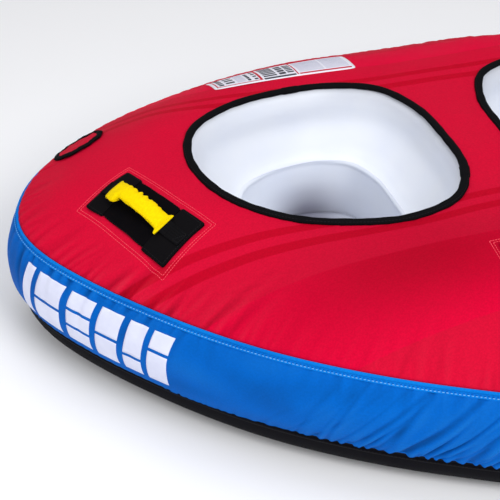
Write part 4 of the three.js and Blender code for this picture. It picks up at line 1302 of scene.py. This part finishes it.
def valve_flap():
    a = np.linspace(0, TURN, 120, endpoint=False)
    rows = []
    for share in np.linspace(0.04, 1.0, 22):
        u, v = share * FLAP_HALF[0] * FLAP_CLOTH * np.cos(a), share * FLAP_HALF[1] * FLAP_CLOTH * np.sin(a)
        crown = 0.0016 * (1 - share**2)
        ruck = 0.0009 * np.sin(a * 9 + 2 * share) * share**2 + 0.0008 * swell(u, v, 17, 0.03)
        rows.append(valve.draped(u, v, 0.0046 + crown + ruck))
    grid = np.stack(rows)
    flap = ribbon("valve_flap_cloth", grid, MAT["red_plain"], wrap_cols=True, body="valve_flap",
                  cloth=grid.copy())
    thicken(flap, 0.0010, 0.0)
    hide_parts("valve_flap")
    count = 150
    a = np.linspace(0, TURN, count, endpoint=False)
    u, v = FLAP_HALF[0] * FLAP_CLOTH * np.cos(a), FLAP_HALF[1] * FLAP_CLOTH * np.sin(a)
    wave = 0.0009 * np.sin(a * 9 + 2) + 0.0004 * np.sin(a * 23)
    centre = valve.draped(u, v, 0.0044 + wave * 0.6)
    up = deck_normal(centre[:, 0], centre[:, 1])
    out = unit(np.cross(onward(centre), up))
    section = circle(14) * (0.0062, 0.0036)
    scale = 1 + 0.06 * np.sin(a * 9) + 0.04 * np.sin(a * 31)
    binding = closed_loft("valve_flap_edge", centre, out, up, section[None] * scale[:, None, None],
                          MAT["piping"], body="valve_flap")
    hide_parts("valve_flap_binding")
    line = centre - out * 0.0035 + up * 0.0022
    sewn = stitches("valve_flap_stitches", line, up, "flap", MAT["black_thread"], body="valve_flap")


valve_flap()


# ------------------------------------------------------------------ printed label and band print
label_points = vertices("instruction_label")
label_centre = label_points[:, :2].mean(0)
_, _, label_axes = np.linalg.svd(label_points[:, :2] - label_centre, full_matrices=False)
label_turn = math.atan2(label_axes[0, 1] * np.sign(label_axes[0, 0]), abs(label_axes[0, 0]))
label = DeckFrame(*label_centre, label_turn)
LABEL_HALF = np.array([0.152, 0.052])
backing = plate("rider_label", label, LABEL_HALF, 0.0006, 0.0010, MAT["label"], steps=(48, 20),
                rounding=0.0003, corner=0.003)
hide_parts("instruction_label")


def ink(name, boxes, material, height=0.0018, thickness=0.0003):
    """Flat printed boxes on the label: (low u, high u, low v, high v) in millimetres."""
    points, faces = [], []
    for u0, u1, v0, v1 in boxes:
        cols = max(2, int((u1 - u0) / 12))
        u, v = np.meshgrid(np.linspace(u0, u1, cols) / 1000, np.linspace(v0, v1, 4) / 1000, indexing="ij")
        faces += slab_faces(cols, 4, start=sum(len(p) for p in points))
        points += [label.draped(u, v, lift).reshape(-1, 3) for lift in (height + thickness, height)]
    return new_mesh(name, np.vstack(points), faces, material, smooth=False)


def frame_boxes(u0, u1, v0, v1, wide):
    """The four sides of a ruled frame."""
    return [(u0, u1, v0, v0 + wide), (u0, u1, v1 - wide, v1), (u0, u0 + wide, v0 + wide, v1 - wide),
            (u1 - wide, u1, v0 + wide, v1 - wide)]


def bars(u0, u1, v0, v1, pitch, wide):
    """A column of bars, one above the other."""
    return [(u0, u1, v, v + wide) for v in np.arange(v0, v1 - wide, pitch)]


ink("rider_label_rules", frame_boxes(-145, -50, -44, 47, 2.6) + [(32, 145, -45, -39), (-50, -47.4, -44, 47),
                                                                (27, 29.6, -44, 47)], MAT["label_red"])
ink("rider_label_blocks", [(-44, 24, -46, -38)] + bars(-42, -14, -30, 44, 13, 7) + bars(-8, 6, -30, 44, 18, 12)
    + bars(10, 24, -26, 44, 13, 7) + bars(-138, -128, -34, 40, 16, 9) + bars(-122, -104, -28, 40, 22, 10)
    + bars(-76, -70, -34, 40, 16, 12) + bars(-62, -55, -34, 44, 20, 9), MAT["label_grey"])
ink("rider_label_bars", bars(35, 88, -33, 46, 5.2, 2.6) + bars(92, 143, -33, 46, 5.2, 2.6)
    + bars(-99, -80, -34, 42, 6, 2.8), MAT["label_pale"])


BARS_LOW, BARS_HIGH, BARS_SLANT, BARS_MIDDLE = 0.022, 0.139, 0.11, 0.075
BARS_START = {"left": 184, "right": 356}  # degrees round the plan
SLOT_HALF = 0.0035
# Each column's two edges along the seam and the heights of the slots through it.
BAR_COLUMNS = [(-0.130, -0.106, ()), (-0.092, -0.026, (0.080,)), (-0.008, 0.048, (0.060, 0.100)),
               (0.062, 0.110, (0.080,)), (0.124, 0.162, (0.062,)), (0.174, 0.214, (0.098,))]


def band_print(side):
    """Plain slanted bars in white ink on the band, some with narrow slots through them."""
    sign = 1 if side == "left" else -1
    start = float(run_of(math.radians(BARS_START[side])))
    rows, cols = 14, 16
    up, along = np.meshgrid(np.linspace(0, 1, rows), np.linspace(0, 1, cols), indexing="ij")
    points, faces = [], []
    for low, high, slots in BAR_COLUMNS:
        edges = [BARS_LOW, *(at + half for at in slots for half in (-SLOT_HALF, SLOT_HALF)), BARS_HIGH]
        for bottom, top in zip(edges[::2], edges[1::2]):
            height = bottom + (top - bottom) * up
            run = (start + sign * (low + (high - low) * along + BARS_SLANT * (height - BARS_MIDDLE))) % GIRTH
            folds = band_folds(run.ravel().copy(), height.ravel().copy()).reshape(run.shape)
            made = slab_faces(rows, cols, start=sum(len(p) for p in points))
            faces += made if side == "left" else [f[::-1] for f in made]
            points += [on_side(run, height, folds + lift).reshape(-1, 3) for lift in (0.00045, 0.0001)]
    new_mesh(f"band_bars_{side}", np.vstack(points), faces, MAT["ink"])


for side in SIDES:
    band_print(side)


# ------------------------------------------------------------------ hard parts kept from the CAD
def finish_node(name, material, bevel):
    """Gives a CAD node its material and rounds its edges."""
    node = NODES[name]
    node.data.materials.clear()
    node.data.materials.append(material)
    weld = node.modifiers.new("weld", "WELD")
    weld.merge_threshold = 0.00002
    round_edges = node.modifiers.new("bevel", "BEVEL")
    round_edges.width, round_edges.segments = bevel, 3
    round_edges.limit_method, round_edges.angle_limit = "ANGLE", math.radians(35)
    round_edges.harden_normals = False
    for polygon in node.data.polygons:
        polygon.use_smooth = True


for name, material, bevel in (
    ("tow_patch", "plastic", 0.0012), ("tow_anchor", "plastic", 0.0020), ("tow_pin", "steel", 0.0006),
    ("tow_connector", "plastic", 0.0020), ("zipper_slider", "steel", 0.0008),
    ("zipper_pull", "plastic", 0.0005), ("valve_body", "valve", 0.0006), ("valve_cap", "valve", 0.0008),
    ("valve_port_binding", "patch", 0.0003), ("drain_grommet_left", "brass", 0.0005),
    ("drain_grommet_right", "brass", 0.0005),
):
    finish_node(name, MAT[material], bevel)


# ------------------------------------------------------------------ stern zipper
TOOTH_PITCH = 0.0028
TOOTH_HALF = (0.00105, 0.0030)
TOOTH_STAGGER = 0.0009


def zipper():
    """Two woven tapes and two staggered rows of teeth."""
    low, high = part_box("zipper_coil")
    for name in ("upper", "lower"):
        a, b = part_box(f"zipper_tape_{name}")
        x, z = np.meshgrid(np.linspace(a.x, b.x, 96), np.linspace(a.z, b.z, 9), indexing="ij")
        ripple = 0.0005 * swell(x, z * 3, 19, 0.05)
        outer = np.stack([x, b.y + ripple, z], -1)
        inner = np.stack([x, a.y + 0.0002 + 0 * x, z], -1)
        cloth = np.tile(np.stack([x, z, 0 * x], -1).reshape(-1, 3), (2, 1))
        tape = slab(f"zipper_tape_{name}_woven", outer, inner, MAT["webbing"], cloth=cloth)
        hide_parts(f"zipper_tape_{name}")
        far = b.z - 0.003 if name == "upper" else a.z + 0.003
        line = np.stack([np.linspace(a.x, b.x, 60), np.full(60, b.y + 0.0002), np.full(60, far)], -1)
        aft = np.tile([0.0, 1.0, 0.0], (60, 1))
        sewn = stitches(f"zipper_stitches_{name}", line, aft, "zipper", MAT["blue_thread"], closed=False)
    count = int((high.x - low.x) / TOOTH_PITCH)
    points, faces = [], []
    tooth = circle(10)
    for n in range(count):
        x = low.x + (n + 0.5) * (high.x - low.x) / count
        z = (low.z + high.z) / 2 + (TOOTH_STAGGER if n % 2 else -TOOTH_STAGGER)
        rings = []
        for depth, size in ((0.0, 1.0), (0.5, 1.0), (0.85, 0.8), (1.0, 0.45)):
            wide, tall = tooth.T * np.array(TOOTH_HALF)[:, None] * size
            rings.append(np.stack([x + wide, np.full(10, low.y + depth * (high.y - low.y)), z + tall], -1))
        start = n * 40
        points.append(np.concatenate(rings))
        faces += [f[::-1] for f in grid_faces(4, 10, wrap_cols=True, start=start)]
        faces += [[start + k for k in range(10)], [start + 30 + k for k in range(10)][::-1]]
    teeth = new_mesh("zipper_teeth", np.vstack(points), faces, MAT["plastic"])
    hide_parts("zipper_coil")


zipper()


# ------------------------------------------------------------------ cloth simulation of the padded sleeves
def inflate(pieces, frames=20):
    """Swells closed pieces by cloth under pressure, then keeps the shape with its travel capped."""
    scene = bpy.context.scene
    rest = {}
    for obj, _, _ in pieces:
        rest[obj.name] = np.array([v.co for v in obj.data.vertices])
        cloth = obj.modifiers.new("puff", "CLOTH")
        cloth.settings.quality = 6
        cloth.settings.mass = 0.15
        cloth.settings.use_pressure = True
        cloth.settings.uniform_pressure_force = 4.0
        cloth.settings.effector_weights.gravity = 0.0
        cloth.settings.tension_stiffness = cloth.settings.compression_stiffness = 12.0
        cloth.settings.bending_stiffness = 0.3
        cloth.point_cache.frame_start, cloth.point_cache.frame_end = 1, frames
    for step in range(1, frames + 1):
        scene.frame_set(step)
    graph = bpy.context.evaluated_depsgraph_get()
    for obj, cap, _ in pieces:
        made = obj.evaluated_get(graph).to_mesh()
        moved = np.array([v.co for v in made.vertices])
        obj.evaluated_get(graph).to_mesh_clear()
        travel = moved - rest[obj.name]
        travel -= travel.mean(0)
        length = np.linalg.norm(travel, axis=1, keepdims=True)
        travel *= np.minimum(1, cap / np.maximum(length, 1e-9))
        obj.modifiers.clear()
        obj.data.vertices.foreach_set("co", (rest[obj.name] + travel).astype(np.float32).ravel())
        obj.data.update()
    scene.frame_set(1)


inflate(puffed)
for obj, _, body in puffed:
    soften = obj.modifiers.new("soften", "SUBSURF")
    soften.levels = soften.render_levels = 1
    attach(obj, body)


# ------------------------------------------------------------------ floor, light and camera
FLOOR_Z, FLOOR_HALF, FLOOR_POINTS = -0.0012, 14.0, 24
ROOM_COLOUR, ROOM_STRENGTH = (0.97, 0.98, 1.0, 1.0), 0.43
LAMPS = {  # place from the tube's middle, watts, size
    "key": ((0.4, -2.5, 2.5), 76, 1.6),
    "top": ((-0.6, 0.9, 3.4), 38, 2.8),
    "fill": ((-2.6, -1.0, 1.6), 20, 2.0),
}
CAMERA_PLACE = (-0.9765, -1.7004, 1.5657)
CAMERA_TURN = (52.5, 0.0, -16.6038)  # degrees about X, Y and Z
SENSOR, LENS = 36.0, 86.4  # millimetres


def add(name, data, place):
    made = bpy.data.objects.new(name, data)
    bpy.context.scene.collection.objects.link(made)
    made.location = place
    return made


def studio():
    low, high = cad_box
    bright, dull = colour(250, 250, 252), colour(248, 248, 250)
    floor_material = grained("studio_floor", bright, dull, (0.8, 0.9), 2.0, 0.02, 0.5)
    lines = np.linspace(-FLOOR_HALF, FLOOR_HALF, FLOOR_POINTS)
    floor = new_mesh("studio_floor", [(x, y, FLOOR_Z) for y in lines for x in lines],
                     grid_faces(FLOOR_POINTS, FLOOR_POINTS), floor_material, body=None)
    world = bpy.data.worlds.new("soft_room")
    bpy.context.scene.world = world
    world.use_nodes = True
    sky = world.node_tree.nodes["Background"].inputs
    sky["Color"].default_value, sky["Strength"].default_value = ROOM_COLOUR, ROOM_STRENGTH
    for name, (place, power, size) in LAMPS.items():
        data = bpy.data.lights.new(name, "AREA")
        data.energy, data.size = power, size
        lamp = add(name, data, (low + high) / 2 + Vector(place))
        lamp.rotation_mode = "QUATERNION"
        lamp.rotation_quaternion = (-Vector(place)).to_track_quat("-Z", "Y")
    camera = bpy.data.cameras.new("photo_camera")
    camera.sensor_width, camera.lens = SENSOR, LENS
    camera.clip_start, camera.clip_end = 0.05, 60.0
    eye = add("photo_camera", camera, CAMERA_PLACE)
    eye.rotation_euler = [math.radians(turn) for turn in CAMERA_TURN]
    bpy.context.scene.camera = eye
    view = bpy.context.scene.view_settings
    view.view_transform, view.look = "Standard", "None"
    view.exposure, view.gamma = 0.0, 1.0


studio()
